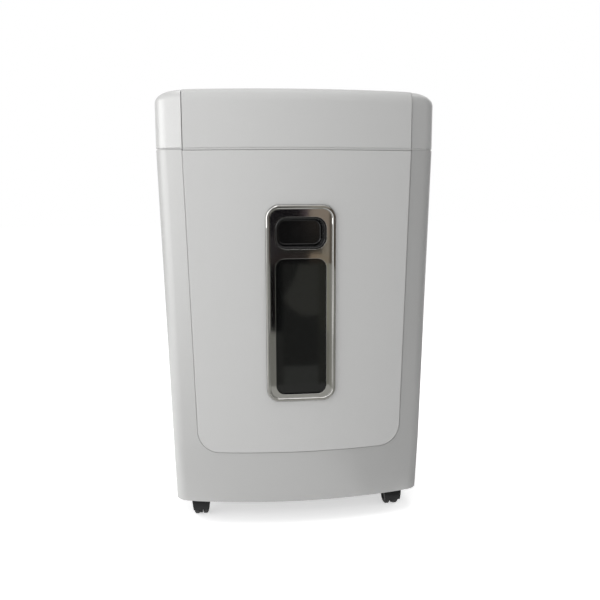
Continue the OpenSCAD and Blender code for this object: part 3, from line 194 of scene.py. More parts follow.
class DoorSettings(bpy.types.PropertyGroup):
    """Form of the door, its bezel and the finger pocket"""
    proud: FloatProperty(name="Door step", default=2.0, min=0.0, max=5.0,
                         description="How far the door stands before the frame, in mm")
    strip: FloatProperty(name="Side strip", description="Width of the frame beside the door, in mm",
                         default=37.0, min=20.0, max=60.0)
    corner: FloatProperty(name="Door corners", default=30.0, min=10.0, max=50.0,
                          description="Radius of the lower door corners, in mm")
    gap: FloatProperty(name="Door gap", description="Gap round the door, in mm",
                       default=1.2, min=0.6, max=3.0)
    bezel_corner: FloatProperty(name="Bezel corners", default=19.0, min=8.0, max=30.0,
                                description="Outer corner radius of the bezel, in mm")
    bead: FloatProperty(name="Bead", description="Width of the rounded bead of the bezel, in mm",
                        default=5.5, min=3.0, max=9.0)
    flange_drop: FloatProperty(name="Flange drop", default=1.4, min=0.5, max=2.5,
                               description="How far the flange lies under the bead, in mm")
    opening_w: FloatProperty(name="Opening width", default=71.0, min=50.0, max=85.0,
                             description="Width of the window and the pocket, in mm")
    window_corner: FloatProperty(name="Window corners", default=13.0, min=5.0, max=20.0,
                                 description="Corner radius of the window, in mm")
    pocket_corner: FloatProperty(name="Pocket corners", default=15.5, min=5.0, max=20.0,
                                 description="Corner radius of the pocket, in mm")
    window_margin: FloatProperty(name="Window margin", description="Bezel under the window, in mm",
                                 default=11.0, min=5.0, max=20.0)
    window_h: FloatProperty(name="Window height", description="Height of the window, in mm",
                            default=192.0, min=120.0, max=220.0)
    pocket_margin: FloatProperty(name="Pocket margin", description="Bezel over the pocket, in mm",
                                 default=17.0, min=8.0, max=30.0)
    pocket_h: FloatProperty(name="Pocket height", description="Height of the finger pocket, in mm",
                            default=44.0, min=30.0, max=60.0)


def colour(label, value, note):
    """Colour setting from an sRGB hex value."""
    return FloatVectorProperty(name=label, description=note, default=linear(value), size=3,
                               subtype="COLOR", min=0.0, max=1.0)


def linear(value):
    """Linear red, green and blue of an sRGB hex value."""
    parts = [int(value[i:i + 2], 16) / 255 for i in (1, 3, 5)]
    return tuple(c / 12.92 if c <= 0.04045 else ((c + 0.055) / 1.055) ** 2.4 for c in parts)


class FinishSettings(bpy.types.PropertyGroup):
    """Main colours of the shredder"""
    paint: colour("Cabinet paint", "#b7b7b6", "Silver powder coat of the cabinet")
    cap: colour("Cap paint", "#c2c2c1", "Silver paint of the head's end caps")
    cover: colour("Cover plastic", "#bdbdbc", "Moulded head covers and door")
    black: colour("Black plastic", "#1d1d1e", "Tray, base, panel and casters")
    stop: colour("Stop button", "#a83228", "Red plastic of the stop button")
    smoke: colour("Window tint", "#2a2c2b", "Smoked acrylic of the window")


class StageSettings(bpy.types.PropertyGroup):
    """Camera, light and floor"""
    camera_at: FloatVectorProperty(name="Camera", description="Place of the camera",
                                   default=(-0.1133, -1.1082, 0.4839), size=3,
                                   subtype="TRANSLATION")
    pan: FloatProperty(name="Pan", description="Turn of the camera to the right",
                       default=0.1157, subtype="ANGLE")
    pitch: FloatProperty(name="Pitch", description="Tilt of the camera downwards",
                         default=0.1532, subtype="ANGLE")
    roll: FloatProperty(name="Roll", description="Roll of the camera", default=-0.0038,
                        subtype="ANGLE")
    lens: FloatProperty(name="Lens", description="Focal length in mm on a 36 mm sensor",
                        default=42.3, min=20.0, max=120.0)
    key: FloatProperty(name="Key light", description="Power of the softbox on the left",
                       default=23.0, min=0.0, unit="POWER")
    rim: FloatProperty(name="Rim light", description="Power of the softbox at the back left",
                       default=15.0, min=0.0, unit="POWER")
    front: FloatProperty(name="Front light", description="Power of the softbox over the camera",
                         default=11.0, min=0.0, unit="POWER")
    top: FloatProperty(name="Top light", description="Power of the softbox overhead", default=17.0,
                       min=0.0, unit="POWER")
    fill: FloatProperty(name="Fill light", description="Strength of the even light all round",
                        default=0.55, min=0.0, max=2.0)
    glow: FloatProperty(name="Floor glow", description="Light of the floor to the eye",
                        default=0.56, min=0.0, max=1.0)
    cards: FloatProperty(name="Card light", description="Strength of the cards before the bezel",
                         default=1.28, min=0.0, max=3.0)


SETTINGS = {"shredder_cabinet": CabinetSettings, "shredder_door": DoorSettings,
            "shredder_finish": FinishSettings, "shredder_stage": StageSettings}


def settings(name):
    """Settings of one group."""
    return getattr(bpy.context.scene, "shredder_" + name)


# ---- outlines, lofts and cuts ------------------------------------------------------------------

def arc(cx, cy, radius, start, end, steps):
    """Points of an arc between two angles in degrees."""
    angles = [math.radians(start + (end - start) * i / steps) for i in range(steps + 1)]
    return [(cx + radius * math.cos(a), cy + radius * math.sin(a)) for a in angles]


def quarter(steps, first=0):
    """Angles of a quarter turn in even steps, from the first one."""
    return [math.radians(90 * k / steps) for k in range(first, steps + 1)]


def plan(half, front, back, bow, corner, heel):
    """Plan of the cabinet: bowed front, rounded corners, straight sides, counter-clockwise."""
    s = settings("cabinet")
    cx = half - corner
    swing = math.degrees(math.asin(cx / (bow - corner)))
    cy = front + bow - (bow - corner) * math.cos(math.radians(swing))
    return (arc(0, front + bow, bow, -90 - swing, -90 + swing, s.bow_steps)
            + arc(cx, cy, corner, -90 + swing, 0, s.corner_steps)[1:]
            + arc(half - heel, back - heel, heel, 0, 90, HEEL_STEPS)
            + arc(heel - half, back - heel, heel, 90, 180, HEEL_STEPS)
            + arc(-cx, cy, corner, 180, 270 - swing, s.corner_steps)[:-1])


def rounded(width, height, radius, steps=12):
    """Rectangle with rounded corners about the origin, counter-clockwise."""
    x, y = width / 2 - radius, height / 2 - radius
    return (arc(x, y, radius, 0, 90, steps) + arc(-x, y, radius, 90, 180, steps)
            + arc(-x, -y, radius, 180, 270, steps) + arc(x, -y, radius, 270, 360, steps))


def lift(outline, z, at=(0, 0)):
    """Outline laid flat at a height."""
    return [(x + at[0], y + at[1], z) for x, y in outline]


def stand(outline, y, at=(0, 0)):
    """Outline stood upright, facing the front, at a depth."""
    return [(x + at[0], y, z + at[1]) for x, z in outline]


def loft(rings, closed=False):
    """Mesh through rings of points in mm. Its ends are capped, or joined when it is closed."""
    bm = bmesh.new()
    rows = [[bm.verts.new(Vector(p) * MM) for p in ring] for ring in rings]
    pairs = list(zip(rows, rows[1:])) + ([(rows[-1], rows[0])] if closed else [])
    for low, high in pairs:
        for i in range(len(low)):
            j = (i + 1) % len(low)
            bm.faces.new((low[i], low[j], high[j], high[i]))
    if not closed:
        bm.faces.new(rows[0][::-1])
        bm.faces.new(rows[-1])
    bmesh.ops.recalc_face_normals(bm, faces=bm.faces)
    return bm


def thing(name, bm, material=None):
    """Object in the scene from a mesh under construction."""
    mesh = bpy.data.meshes.new(name)
    bm.to_mesh(mesh)
    bm.free()
    made = bpy.data.objects.new(name, mesh)
    bpy.context.scene.collection.objects.link(made)
    if material:
        mesh.materials.append(material)
    return made


def block(low, high):
    """Box between two corners, as a cutting tool."""
    flat = [(low[0], low[1]), (high[0], low[1]), (high[0], high[1]), (low[0], high[1])]
    return loft([lift(flat, low[2]), lift(flat, high[2])])


def upright(outline, y0, y1, at=(0, 0)):
    """Prism between two depths, as a cutting tool."""
    return loft([stand(outline, y0, at), stand(outline, y1, at)])


def bake(made):
    """Turns the modifiers of an object into its mesh."""
    graph = bpy.context.evaluated_depsgraph_get()
    mesh = bpy.data.meshes.new_from_object(made.evaluated_get(graph), preserve_all_data_layers=True,
                                           depsgraph=graph)
    old = made.data
    made.modifiers.clear()
    made.data = mesh
    bpy.data.meshes.remove(old)
    mesh.name = made.name


def carve(made, operation, *tools):
    """Cuts away, joins or keeps what each tool covers."""
    helpers = [thing("tool", tool) for tool in tools]
    for helper in helpers:
        cut = made.modifiers.new("carve", "BOOLEAN")
        cut.operation = operation
        cut.solver = "EXACT"
        cut.object = helper
    bpy.context.view_layer.update()
    bake(made)
    for helper in helpers:
        mesh = helper.data
        bpy.data.objects.remove(helper)
        bpy.data.meshes.remove(mesh)


def round_edges(made, radius, steps=2, limit=40):
    """Rounds the sharp edges and evens the shading of the flat faces."""
    if radius:
        bm = bmesh.new()
        bm.from_mesh(made.data)
        bmesh.ops.remove_doubles(bm, verts=bm.verts, dist=0.01 * MM)
        bmesh.ops.dissolve_limit(bm, angle_limit=math.radians(0.05), verts=bm.verts, edges=bm.edges)
        bm.to_mesh(made.data)
        bm.free()
        bevel = made.modifiers.new("edges", "BEVEL")
        bevel.width = radius * MM
        bevel.segments = steps
        bevel.limit_method = "ANGLE"
        bevel.angle_limit = math.radians(limit)
        bevel.use_clamp_overlap = True
        bevel.miter_outer = "MITER_ARC"
        bake(made)
    made.data.polygons.foreach_set("use_smooth", [True] * len(made.data.polygons))
    made.data.set_sharp_from_angle(angle=math.radians(50))
    even = made.modifiers.new("normals", "WEIGHTED_NORMAL")
    even.keep_sharp = True
    bake(made)


def soften(node, name, radius, steps=2, limit=40):
    """Copy of a machined or moulded node with its edges rounded, as it leaves its tool."""
    source = frame["nodes"][node]
    made = bpy.data.objects.new(name, source.data.copy())
    bpy.context.scene.collection.objects.link(made)
    made.data.materials.clear()
    made.data.materials.append(FINISH[node]())
    bm = bmesh.new()
    bm.from_mesh(made.data)
    bmesh.ops.remove_doubles(bm, verts=bm.verts, dist=0.002 * MM)
    bmesh.ops.dissolve_limit(bm, angle_limit=math.radians(0.3), verts=bm.verts, edges=bm.edges)
    bm.to_mesh(made.data)
    bm.free()
    round_edges(made, radius, steps, limit)
    place(made, node)
    return made


def place(made, *nodes):
    """The piece rides on its first node's body and stands for the nodes."""
    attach(made, frame["nodes"][nodes[0]]["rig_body"])
    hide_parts(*nodes)


SLOTS = {n: o.data.materials[0].name.split(".")[0] for n, o in frame["nodes"].items()}


# ---- materials ---------------------------------------------------------------------------------

def add_node(tree, kind, sockets=None, **attributes):
    """Adds a shader node, sets its attributes, and sets or links its sockets."""
    made = tree.nodes.new("ShaderNode" + kind)
    for name, value in attributes.items():
        setattr(made, name, value)
    for name, value in (sockets or {}).items():
        if isinstance(value, bpy.types.NodeSocket):
            tree.links.new(value, made.inputs[name])
        else:
            made.inputs[name].default_value = value
    return made


def new_material(name):
    """Empty node material, its tree, and the object coordinates in metres."""
    made = bpy.data.materials.new(name)
    made.use_nodes = True
    tree = made.node_tree
    tree.nodes.clear()
    return made, tree, add_node(tree, "TexCoord").outputs["Object"]


def finish(name, base, shade, gloss, pattern, size, depth, drift=0.12, stretch=(1, 1, 1), **shader):
    """Surface with a pattern of a real size in mm that moves its colour, gloss and relief.

    base and shade are the colours at the pattern's low and high places, gloss the range of
    roughness, depth the height of the relief in mm, and drift the size of the slow change of
    gloss that handling leaves, in metres. A texture that is really finer than about 0.7 mm is
    drawn coarser, as its own function says, so that it doesn't turn to noise from a distance.
    """
    if name in bpy.data.materials:
        return bpy.data.materials[name]
    made, tree, place_at = new_material(name)
    grain_at = add_node(tree, "Mapping", {"Vector": place_at, "Scale": stretch}).outputs["Vector"]
    scale = 1 / (size * MM)
    if pattern == "cells":
        grain = add_node(tree, "TexVoronoi", {"Vector": grain_at,
                                              "Scale": scale}).outputs["Distance"]
    elif pattern == "spangle":
        cells = add_node(tree, "TexVoronoi", {"Vector": grain_at, "Scale": scale})
        grain = add_node(tree, "RGBToBW", {"Color": cells.outputs["Color"]}).outputs["Val"]
    elif pattern == "rings":
        # a wave of scale 1 repeats about 6.28 times in a unit
        grain = add_node(tree, "TexWave", {"Vector": grain_at, "Scale": scale / 6.28,
                                           "Distortion": 1.5}, bands_direction="X").outputs["Fac"]
    else:
        grain = add_node(tree, "TexNoise", {"Vector": grain_at, "Scale": scale, "Detail": 3.0,
                                            "Roughness": 0.55}).outputs["Fac"]
    slow = add_node(tree, "TexNoise", {"Vector": place_at, "Scale": 1 / drift, "Detail": 2.0})
    both = add_node(tree, "Math", {0: grain, 1: slow.outputs["Fac"]}, operation="ADD").outputs[0]
    rough = add_node(tree, "MapRange", {"Value": both, "From Min": 0.5, "From Max": 1.5,
                                        "To Min": gloss[0], "To Max": gloss[1]}).outputs["Result"]
    # the colour sockets of a mix are found by their place
    low, high = [(*(linear(c) if isinstance(c, str) else c), 1) for c in (base, shade)]
    tint = add_node(tree, "Mix", {0: grain, 6: low, 7: high}, data_type="RGBA")
    relief = add_node(tree, "Bump", {"Height": grain, "Distance": depth * MM, "Strength": 1.0})
    sockets = {"Base Color": tint.outputs[2], "Roughness": rough,
               "Normal": relief.outputs["Normal"]}
    for socket, value in shader.items():
        sockets[socket.replace("_", " ").title().replace("Ior", "IOR")] = value
    surface = add_node(tree, "BsdfPrincipled", sockets)
    add_node(tree, "OutputMaterial", {"Surface": surface.outputs["BSDF"]})
    return made


def darker(value, share):
    """Linear colour with a share of its light."""
    return tuple(c * share for c in value)


def silver_powder_coat():
    """Folded sheet steel, powder coated in light silver: the fine flake turns bright to the light
    and dull away from it, and the coat flows out with faint waves of orange peel."""
    paint = tuple(settings("finish").paint)
    return finish("silver_powder_coat", paint, darker(paint, 0.975), (0.36, 0.42), "grain", 1.6,
                  0.006, metallic=0.3)


def silver_painted_abs():
    """Moulded end caps, sprayed in the same silver: smoother than the coated steel."""
    paint = tuple(settings("finish").cap)
    return finish("silver_painted_abs", paint, darker(paint, 0.975), (0.3, 0.36), "grain", 2.4,
                  0.004, metallic=0.3)


def moulded_abs_light():
    """Injection-moulded ABS in light grey: a spark-eroded texture takes the shine off it. The
    real one is 0.2 mm across and is drawn at 0.9 mm."""
    cover = tuple(settings("finish").cover)
    return finish("moulded_abs_light", cover, darker(cover, 0.97), (0.44, 0.54), "cells", 0.9, 0.01,
                  specular_ior_level=0.42)


def moulded_abs_black():
    """Injection-moulded ABS in black: satin, with a grain that greys its lights. The real one is
    0.2 mm across and is drawn at 0.9 mm."""
    black = tuple(settings("finish").black)
    return finish("moulded_abs_black", black, darker(black, 0.75), (0.4, 0.55), "cells", 0.9, 0.012)


def polished_abs_black():
    """Black ABS from a polished tool: a deep gloss with clean reflections and faint swirls."""
    return finish("polished_abs_black", "#0d0d0e", "#121213", (0.1, 0.17), "grain", 14.0, 0.02)


def chrome_plated_abs():
    """Bright chrome plated on moulded ABS: a mirror, with the plastic's slow waves under it."""
    return finish("chrome_plated_abs", "#bcbbb8", "#b6b5b3", (0.05, 0.09), "grain", 22.0, 0.05,
                  metallic=1.0)


def smoked_acrylic():
    """Cast acrylic tinted through: dark and clear, with the faint haze of wiping."""
    name = "smoked_acrylic"
    if name in bpy.data.materials:
        return bpy.data.materials[name]
    made, tree, place_at = new_material(name)
    wipe_at = add_node(tree, "Mapping", {"Vector": place_at, "Scale": (1, 1, 4)}).outputs["Vector"]
    haze = add_node(tree, "TexNoise", {"Vector": wipe_at, "Scale": 1 / 0.03,
                                       "Detail": 3.0}).outputs["Fac"]
    rough = add_node(tree, "MapRange", {"Value": haze, "To Min": 0.03,
                                        "To Max": 0.09}).outputs["Result"]
    relief = add_node(tree, "Bump", {"Height": haze, "Distance": 0.002 * MM, "Strength": 1.0})
    surface = add_node(tree, "BsdfPrincipled", {
        "Base Color": (*settings("finish").smoke, 1), "Roughness": rough, "IOR": 1.49,
        "Transmission Weight": 0.85, "Normal": relief.outputs["Normal"]})
    add_node(tree, "OutputMaterial", {"Surface": surface.outputs["BSDF"]})
    return made


def moulded_pp_grey():
    """Injection-moulded polypropylene in dark grey: waxy, with soft flow marks."""
    return finish("moulded_pp_grey", "#3a3c3e", "#313335", (0.38, 0.5), "grain", 6.0, 0.02,
                  stretch=(1, 1, 0.3))


def moulded_nylon():
    """Natural nylon: ivory, waxy and slightly clear at its edges."""
    return finish("moulded_nylon", "#e0d9c6", "#d4cbb4", (0.36, 0.48), "grain", 3.0, 0.01,
                  subsurface_weight=0.1, subsurface_radius=(0.004, 0.003, 0.002))


def zinc_plated_steel():
    """Zinc-plated sheet steel: a cool grey metal with the small crystals of the plating."""
    return finish("zinc_plated_steel", "#a9abad", "#8f9396", (0.28, 0.42), "spangle", 5.0, 0.006,
                  metallic=1.0)


def ground_tool_steel():
    """Hardened tool steel, ground and oiled: dark metal with fine turned rings along its shaft,
    really 0.2 mm apart and drawn at 0.7 mm."""
    return finish("ground_tool_steel", "#74777b", "#5c5f63", (0.22, 0.38), "rings", 0.7, 0.01,
                  metallic=1.0)


def sintered_steel():
    """Sintered steel: dull grey metal with open pores that hold oil, really 0.1 mm across and
    drawn at 1.2 mm."""
    return finish("sintered_steel", "#85888b", "#63666a", (0.4, 0.56), "cells", 1.2, 0.02,
                  metallic=1.0)


def sintered_bronze():
    """Sintered bronze, full of oil: warm brown metal with dark pores, really 0.1 mm across and
    drawn at 1 mm."""
    return finish("sintered_bronze", "#b08a4e", "#8a6a3a", (0.34, 0.5), "cells", 1.0, 0.015,
                  metallic=1.0)


def pressed_motor_steel():
    """Pressed and galvanised motor shell: grey metal with draw marks along its length."""
    return finish("pressed_motor_steel", "#9a9c9e", "#7f8285", (0.3, 0.45), "grain", 1.5, 0.012,
                  stretch=(0.12, 1, 1), metallic=1.0)


def solder_mask_board():
    """Glass-epoxy circuit board under green solder mask: semi-gloss, with the weave showing
    through, really 0.5 mm across and drawn at 1.2 mm."""
    return finish("solder_mask_board", "#2b6238", "#234f2d", (0.22, 0.34), "spangle", 1.2, 0.02)


def drawn_aluminium():
    """Drawn aluminium can: bright metal with fine marks round it."""
    return finish("drawn_aluminium", "#c4c6c8", "#adb0b3", (0.24, 0.36), "grain", 1.0, 0.008,
                  stretch=(0.1, 1, 1), metallic=1.0)


def tinted_polycarbonate():
    """Clear green polycarbonate light pipes: glossy, and lit from within by the ceiling light."""
    return finish("tinted_polycarbonate", "#5fae6e", "#4f9a5e", (0.12, 0.2), "grain", 3.0, 0.01,
                  transmission_weight=0.4)


def satin_abs_grey():
    """Light grey ABS button with a satin top that fingers slowly polish."""
    return finish("satin_abs_grey", "#c3c5c6", "#b7b9ba", (0.26, 0.42), "grain", 2.0, 0.01,
                  drift=0.01)


def satin_abs_red():
    """Red ABS button with a satin top that fingers slowly polish."""
    stop = tuple(settings("finish").stop)
    return finish("satin_abs_red", stop, darker(stop, 0.85), (0.26, 0.42), "grain", 2.0, 0.01,
                  drift=0.01)


def gloss_nylon_black():
    """Black nylon of a mains rocker: glossy, with a faint ripple from its tool."""
    return finish("gloss_nylon_black", "#141415", "#1b1b1c", (0.16, 0.26), "grain", 5.0, 0.015)


def moulded_caster_nylon():
    """Black glass-filled nylon of the caster hoods: satin, with short fibres under the skin."""
    return finish("moulded_caster_nylon", "#0e0e0f", "#161617", (0.34, 0.46), "grain", 1.4, 0.014,
                  stretch=(1, 0.35, 1), specular_ior_level=0.3)


def caster_rubber():
    """Moulded rubber tread: near black, dull, with the fine dust of a floor on it."""
    return finish("caster_rubber", "#1a1a1b", "#2b2a29", (0.6, 0.8), "grain", 2.5, 0.03,
                  drift=0.015)


BY_SLOT = {
    "shell_paint": silver_powder_coat, "cap_plastic": silver_painted_abs,
    "door_plastic": moulded_abs_light, "chrome_trim": chrome_plated_abs,
    "black_plastic": moulded_abs_black, "gloss_black": polished_abs_black,
    "rocker_plastic": gloss_nylon_black, "smoke_window": smoked_acrylic,
    "bin_plastic": moulded_pp_grey, "nylon": moulded_nylon, "plated_steel": zinc_plated_steel,
    "hardened_steel": ground_tool_steel, "gear_steel": sintered_steel, "bronze": sintered_bronze,
    "motor_steel": pressed_motor_steel, "board": solder_mask_board,
    "capacitor_can": drawn_aluminium, "lens": tinted_polycarbonate, "grey_button": satin_abs_grey,
    "red_plastic": satin_abs_red, "caster_plastic": moulded_caster_nylon,
    "caster_tread": caster_rubber,
}
FINISH = {node: BY_SLOT[slot] for node, slot in SLOTS.items()}


def dress(*nodes):
    """Gives CAD nodes that keep their shape the finish of their slot."""
    for node in nodes:
        frame["nodes"][node].data.materials[0] = FINISH[node]()


# ---- cabinet -----------------------------------------------------------------------------------

def body_half(z):
    """Half width of the cabinet at a height."""
    return SKIRT_HALF + (SEAM_HALF - SKIRT_HALF) * (z - SKIRT_Z) / (SEAM_Z - SKIRT_Z)


def frame_front():
    """Depth of the middle of the cabinet's front frame."""
    return DOOR_Y + settings("door").proud


def body_ring(z, inset):
    """Plan of the cabinet at a height, moved inwards by an inset."""
    s = settings("cabinet")
    chin = s.chin * max(0, SILL_Z - z) / (SILL_Z - SKIRT_Z)
    return lift(plan(body_half(z) - inset, frame_front() + chin + inset, BACK_Y - inset,
                     s.bow - inset, s.corner - inset, s.heel - inset), z)


def body_tube(outer, inner, low, high):
    """Closed tube between two insets of the cabinet's plan."""
    heights = [low, *(z for z in BODY_ROWS if low < z < high), high]
    return loft([body_ring(z, outer) for z in heights]
                + [body_ring(z, inner) for z in heights[::-1]], closed=True)


def door_side(z, inset):
    """Half width of the door at a height."""
    return body_half(z) - settings("door").strip - inset


def door_outline(top, inset):
    """Front view of the door: leaning sides, rounded lower corners. A negative inset grows it."""
    lean = math.atan((door_side(SEAM_Z, 0) - door_side(SILL_Z, 0)) / (SEAM_Z - SILL_Z))
    radius = settings("door").corner - inset
    cz = SILL_Z + inset + radius
    cx = door_side(cz, inset) - radius / math.cos(lean)
    right = arc(cx, cz, radius, -90, -math.degrees(lean), 14)
    side = door_side(top, inset)
    return right + [(side, top), (-side, top)] + [(-x, z) for x, z in right[::-1]]


def bow_sag(x):
    """How far the bowed front falls back at a distance from its middle."""
    bow = settings("cabinet").bow
    return bow - math.sqrt(bow * bow - x * x)


class BuildCabinet(bpy.types.Operator):
    """Cabinet shell with its door opening and the lip round it, base, shelf and guides"""
    bl_idname = "shredder.cabinet"
    bl_label = "Cabinet"

    def execute(self, context):
        s, d = settings("cabinet"), settings("door")
        above, before = SEAM_Z + CUT, DOOR_Y - 2 * CUT
        shell = thing("cabinet_skin", body_tube(0, s.wall, SKIRT_Z, SEAM_Z), silver_powder_coat())
        carve(shell, "DIFFERENCE", upright(door_outline(above, -d.gap), before, 0))
        round_edges(shell, s.edge)
        lip = thing("door_frame_lip",
                    body_tube(s.wall - LIP_LAP, LIP_DEPTH, SKIRT_Z + LIP_RISE, SEAM_Z),
                    silver_powder_coat())
        carve(lip, "INTERSECT", upright(door_outline(above, -d.gap - LIP_W), before, 0))
        carve(lip, "DIFFERENCE", upright(door_outline(above + 1, -d.gap), before - 1, 1))
        round_edges(lip, 0)
        place(shell, "cabinet_shell")
        place(lip, "cabinet_shell")
        soften("base_tray", "base_pan", 0.5)
        dress("bin_shelf", "bin_guides", "chassis_screws", "caster_sockets")
        return {"FINISHED"}


# ---- head --------------------------------------------------------------------------------------

def head_ring(z, front, inset, turn):
    """Plan of the head. turn goes from 0 at its sides to 1 at its flat top."""
    s = settings("cabinet")
    return lift(plan(SEAM_HALF - inset - s.top_side * turn, front + inset + s.top_front * turn,
                     BACK_Y - inset - s.top_back * turn, s.bow - inset,
                     s.corner - inset + CORNER_GROWTH * turn,
                     s.heel - inset + HEEL_GROWTH * turn), z)


def head_rings(front, inset, low):
    """Rings of the head from its lower edge to its flat top."""
    s = settings("cabinet")
    base = TOP_Z - s.top_round
    return ([head_ring(low, front, inset, 0), head_ring((low + base) / 2, front, inset, 0)]
            + [head_ring(base + (s.top_round - inset) * math.sin(a), front, inset, 1 - math.cos(a))
               for a in quarter(s.corner_steps)])


def head_skin(front, inset, wall, low):
    """Open shell of the head between two insets."""
    return loft(head_rings(front, inset + wall, low)[::-1] + head_rings(front, inset, low))


class BuildHeadCovers(bpy.types.Operator):
    """Head covers: the centre cover with its openings, two end caps with tongues, and the tray"""
    bl_idname = "shredder.head"
    bl_label = "Head covers"

    def execute(self, context):
        s = settings("cabinet")
        cover = thing("head_cover_centre", head_skin(DOOR_Y, 0, COVER_WALL, COVER_Z),
                      moulded_abs_light())
        carve(cover, "INTERSECT", self.slab(-SPLIT_X, SPLIT_X))
        rear = self.rear_recess()
        carve(cover, "UNION", rear["pan"])
        carve(cover, "DIFFERENCE", *self.top_cuts(), rear["recess"], rear["switch"], rear["gland"])
        carve(cover, "DIFFERENCE", *self.air_slots())
        round_edges(cover, s.edge)
        place(cover, "head_centre_cover")
        self.seam_rebate()
        for side, node in ((-1, "head_cap_left"), (1, "head_cap_right")):
            self.end_cap(side, node)
        soften("head_tray", "head_pan", 0.4)
        return {"FINISHED"}

    def slab(self, x0, x1):
        """Cutting tool that covers the head between two places across it."""
        return block((x0, DOOR_Y - CUT, COVER_Z - CUT), (x1, BACK_Y + CUT, TOP_Z + CUT))

    def seam_rebate(self):
        """Low step under the covers, which fills the seam to just behind their skin."""
        middle = ((-SPLIT_X, DOOR_Y - CUT, SEAM_Z - CUT), (SPLIT_X, 0, COVER_Z + CUT))
        for name, front, low, operation in (
                ("cover_seam_rebate", DOOR_Y, DOOR_HIGH.z + 0.5, "INTERSECT"),
                ("cap_seam_rebate", frame_front(), SEAM_Z + 0.3, "DIFFERENCE")):
            rings = [head_ring(z, front, inset, 0) for inset, z in (
                (SEAM_FACE, low), (SEAM_FACE, COVER_Z), (SEAM_BACK, COVER_Z), (SEAM_BACK, low))]
            step = thing(name, loft(rings, closed=True), moulded_abs_light())
            carve(step, operation, block(*middle))
            round_edges(step, 0)
            place(step, "head_centre_cover")

    def rear_recess(self):
        """Cutting tools of the sunk field that holds the switch and the cord gland."""
        x, z = SWITCH_X + RECESS_SIDE, SWITCH_Z
        half_w, half_h = RECESS_SIZE[0] / 2, RECESS_SIZE[1] / 2
        pan_w, pan_h = half_w + RECESS_WALL, half_h + RECESS_WALL
        floor_y = BACK_Y - RECESS_DEPTH
        holes = (rounded(*SWITCH_HOLE, 0.5, 3), rounded(GLAND_HOLE, GLAND_HOLE, GLAND_HOLE / 2, 12))
        switch, gland = (upright(hole, floor_y - 6, floor_y + 3, (hole_x, z))
                         for hole, hole_x in zip(holes, (SWITCH_X, GLAND_X)))
        return {
            "pan": block((x - pan_w, floor_y - 4, z - pan_h), (x + pan_w, BACK_Y - 1.5, z + pan_h)),
            "recess": block((x - half_w, floor_y, z - half_h),
                            (x + half_w, BACK_Y + 1, z + half_h)),
            "switch": switch, "gland": gland,
        }

    def top_cuts(self):
        """Openings and seats of the paper throat and the control panel."""
        cuts = []
        for low, high, rim, seat_depth, hole_corner in (
                (THROAT_LOW, THROAT_HIGH, THROAT_RIM, 1.6, 1),
                (PANEL_LOW, PANEL_HIGH, PANEL_RIM, TOP_Z - PANEL_HIGH.z + 2, 4)):
            width, depth, at = high.x - low.x, high.y - low.y, (0, (low.y + high.y) / 2)
            for flat, down in ((rounded(width + SEAT_FIT, depth + SEAT_FIT, 6), seat_depth),
                               (rounded(width - rim, depth - rim, hole_corner), 2 * COVER_WALL)):
                cuts.append(loft([lift(flat, TOP_Z - down, at), lift(flat, TOP_Z + 1, at)]))
        return cuts

    def air_slots(self):
        """Upright slots that let the motor's air out at the back."""
        slot = rounded(*AIR_SLOT, 1.7, 5)
        return [upright(slot, BACK_Y - 2 * COVER_WALL, BACK_Y + 2,
                        (AIR_FIRST + AIR_PITCH * i, SWITCH_Z)) for i in range(AIR_SLOTS)]

    def end_cap(self, side, node):
        """End cap, with the tongue that closes the joint from inside."""
        edge = SPLIT_X + CAP_GAP
        for part, inset, wall, near, far, radius in (
                ("head_end", 0, COVER_WALL, edge, SEAM_HALF + CUT, settings("cabinet").edge),
                ("head_tongue", COVER_WALL + TONGUE_SLIP, TONGUE_WALL, edge - TONGUE_IN,
                 edge + TONGUE_OUT, 0)):
            skin = head_skin(frame_front(), inset, wall, COVER_Z)
            made = thing(node.replace("head_cap", part), skin, silver_painted_abs())
            carve(made, "INTERSECT", self.slab(*sorted((side * near, side * far))))
            round_edges(made, radius)
            place(made, node)


# ---- door and bezel ----------------------------------------------------------------------------

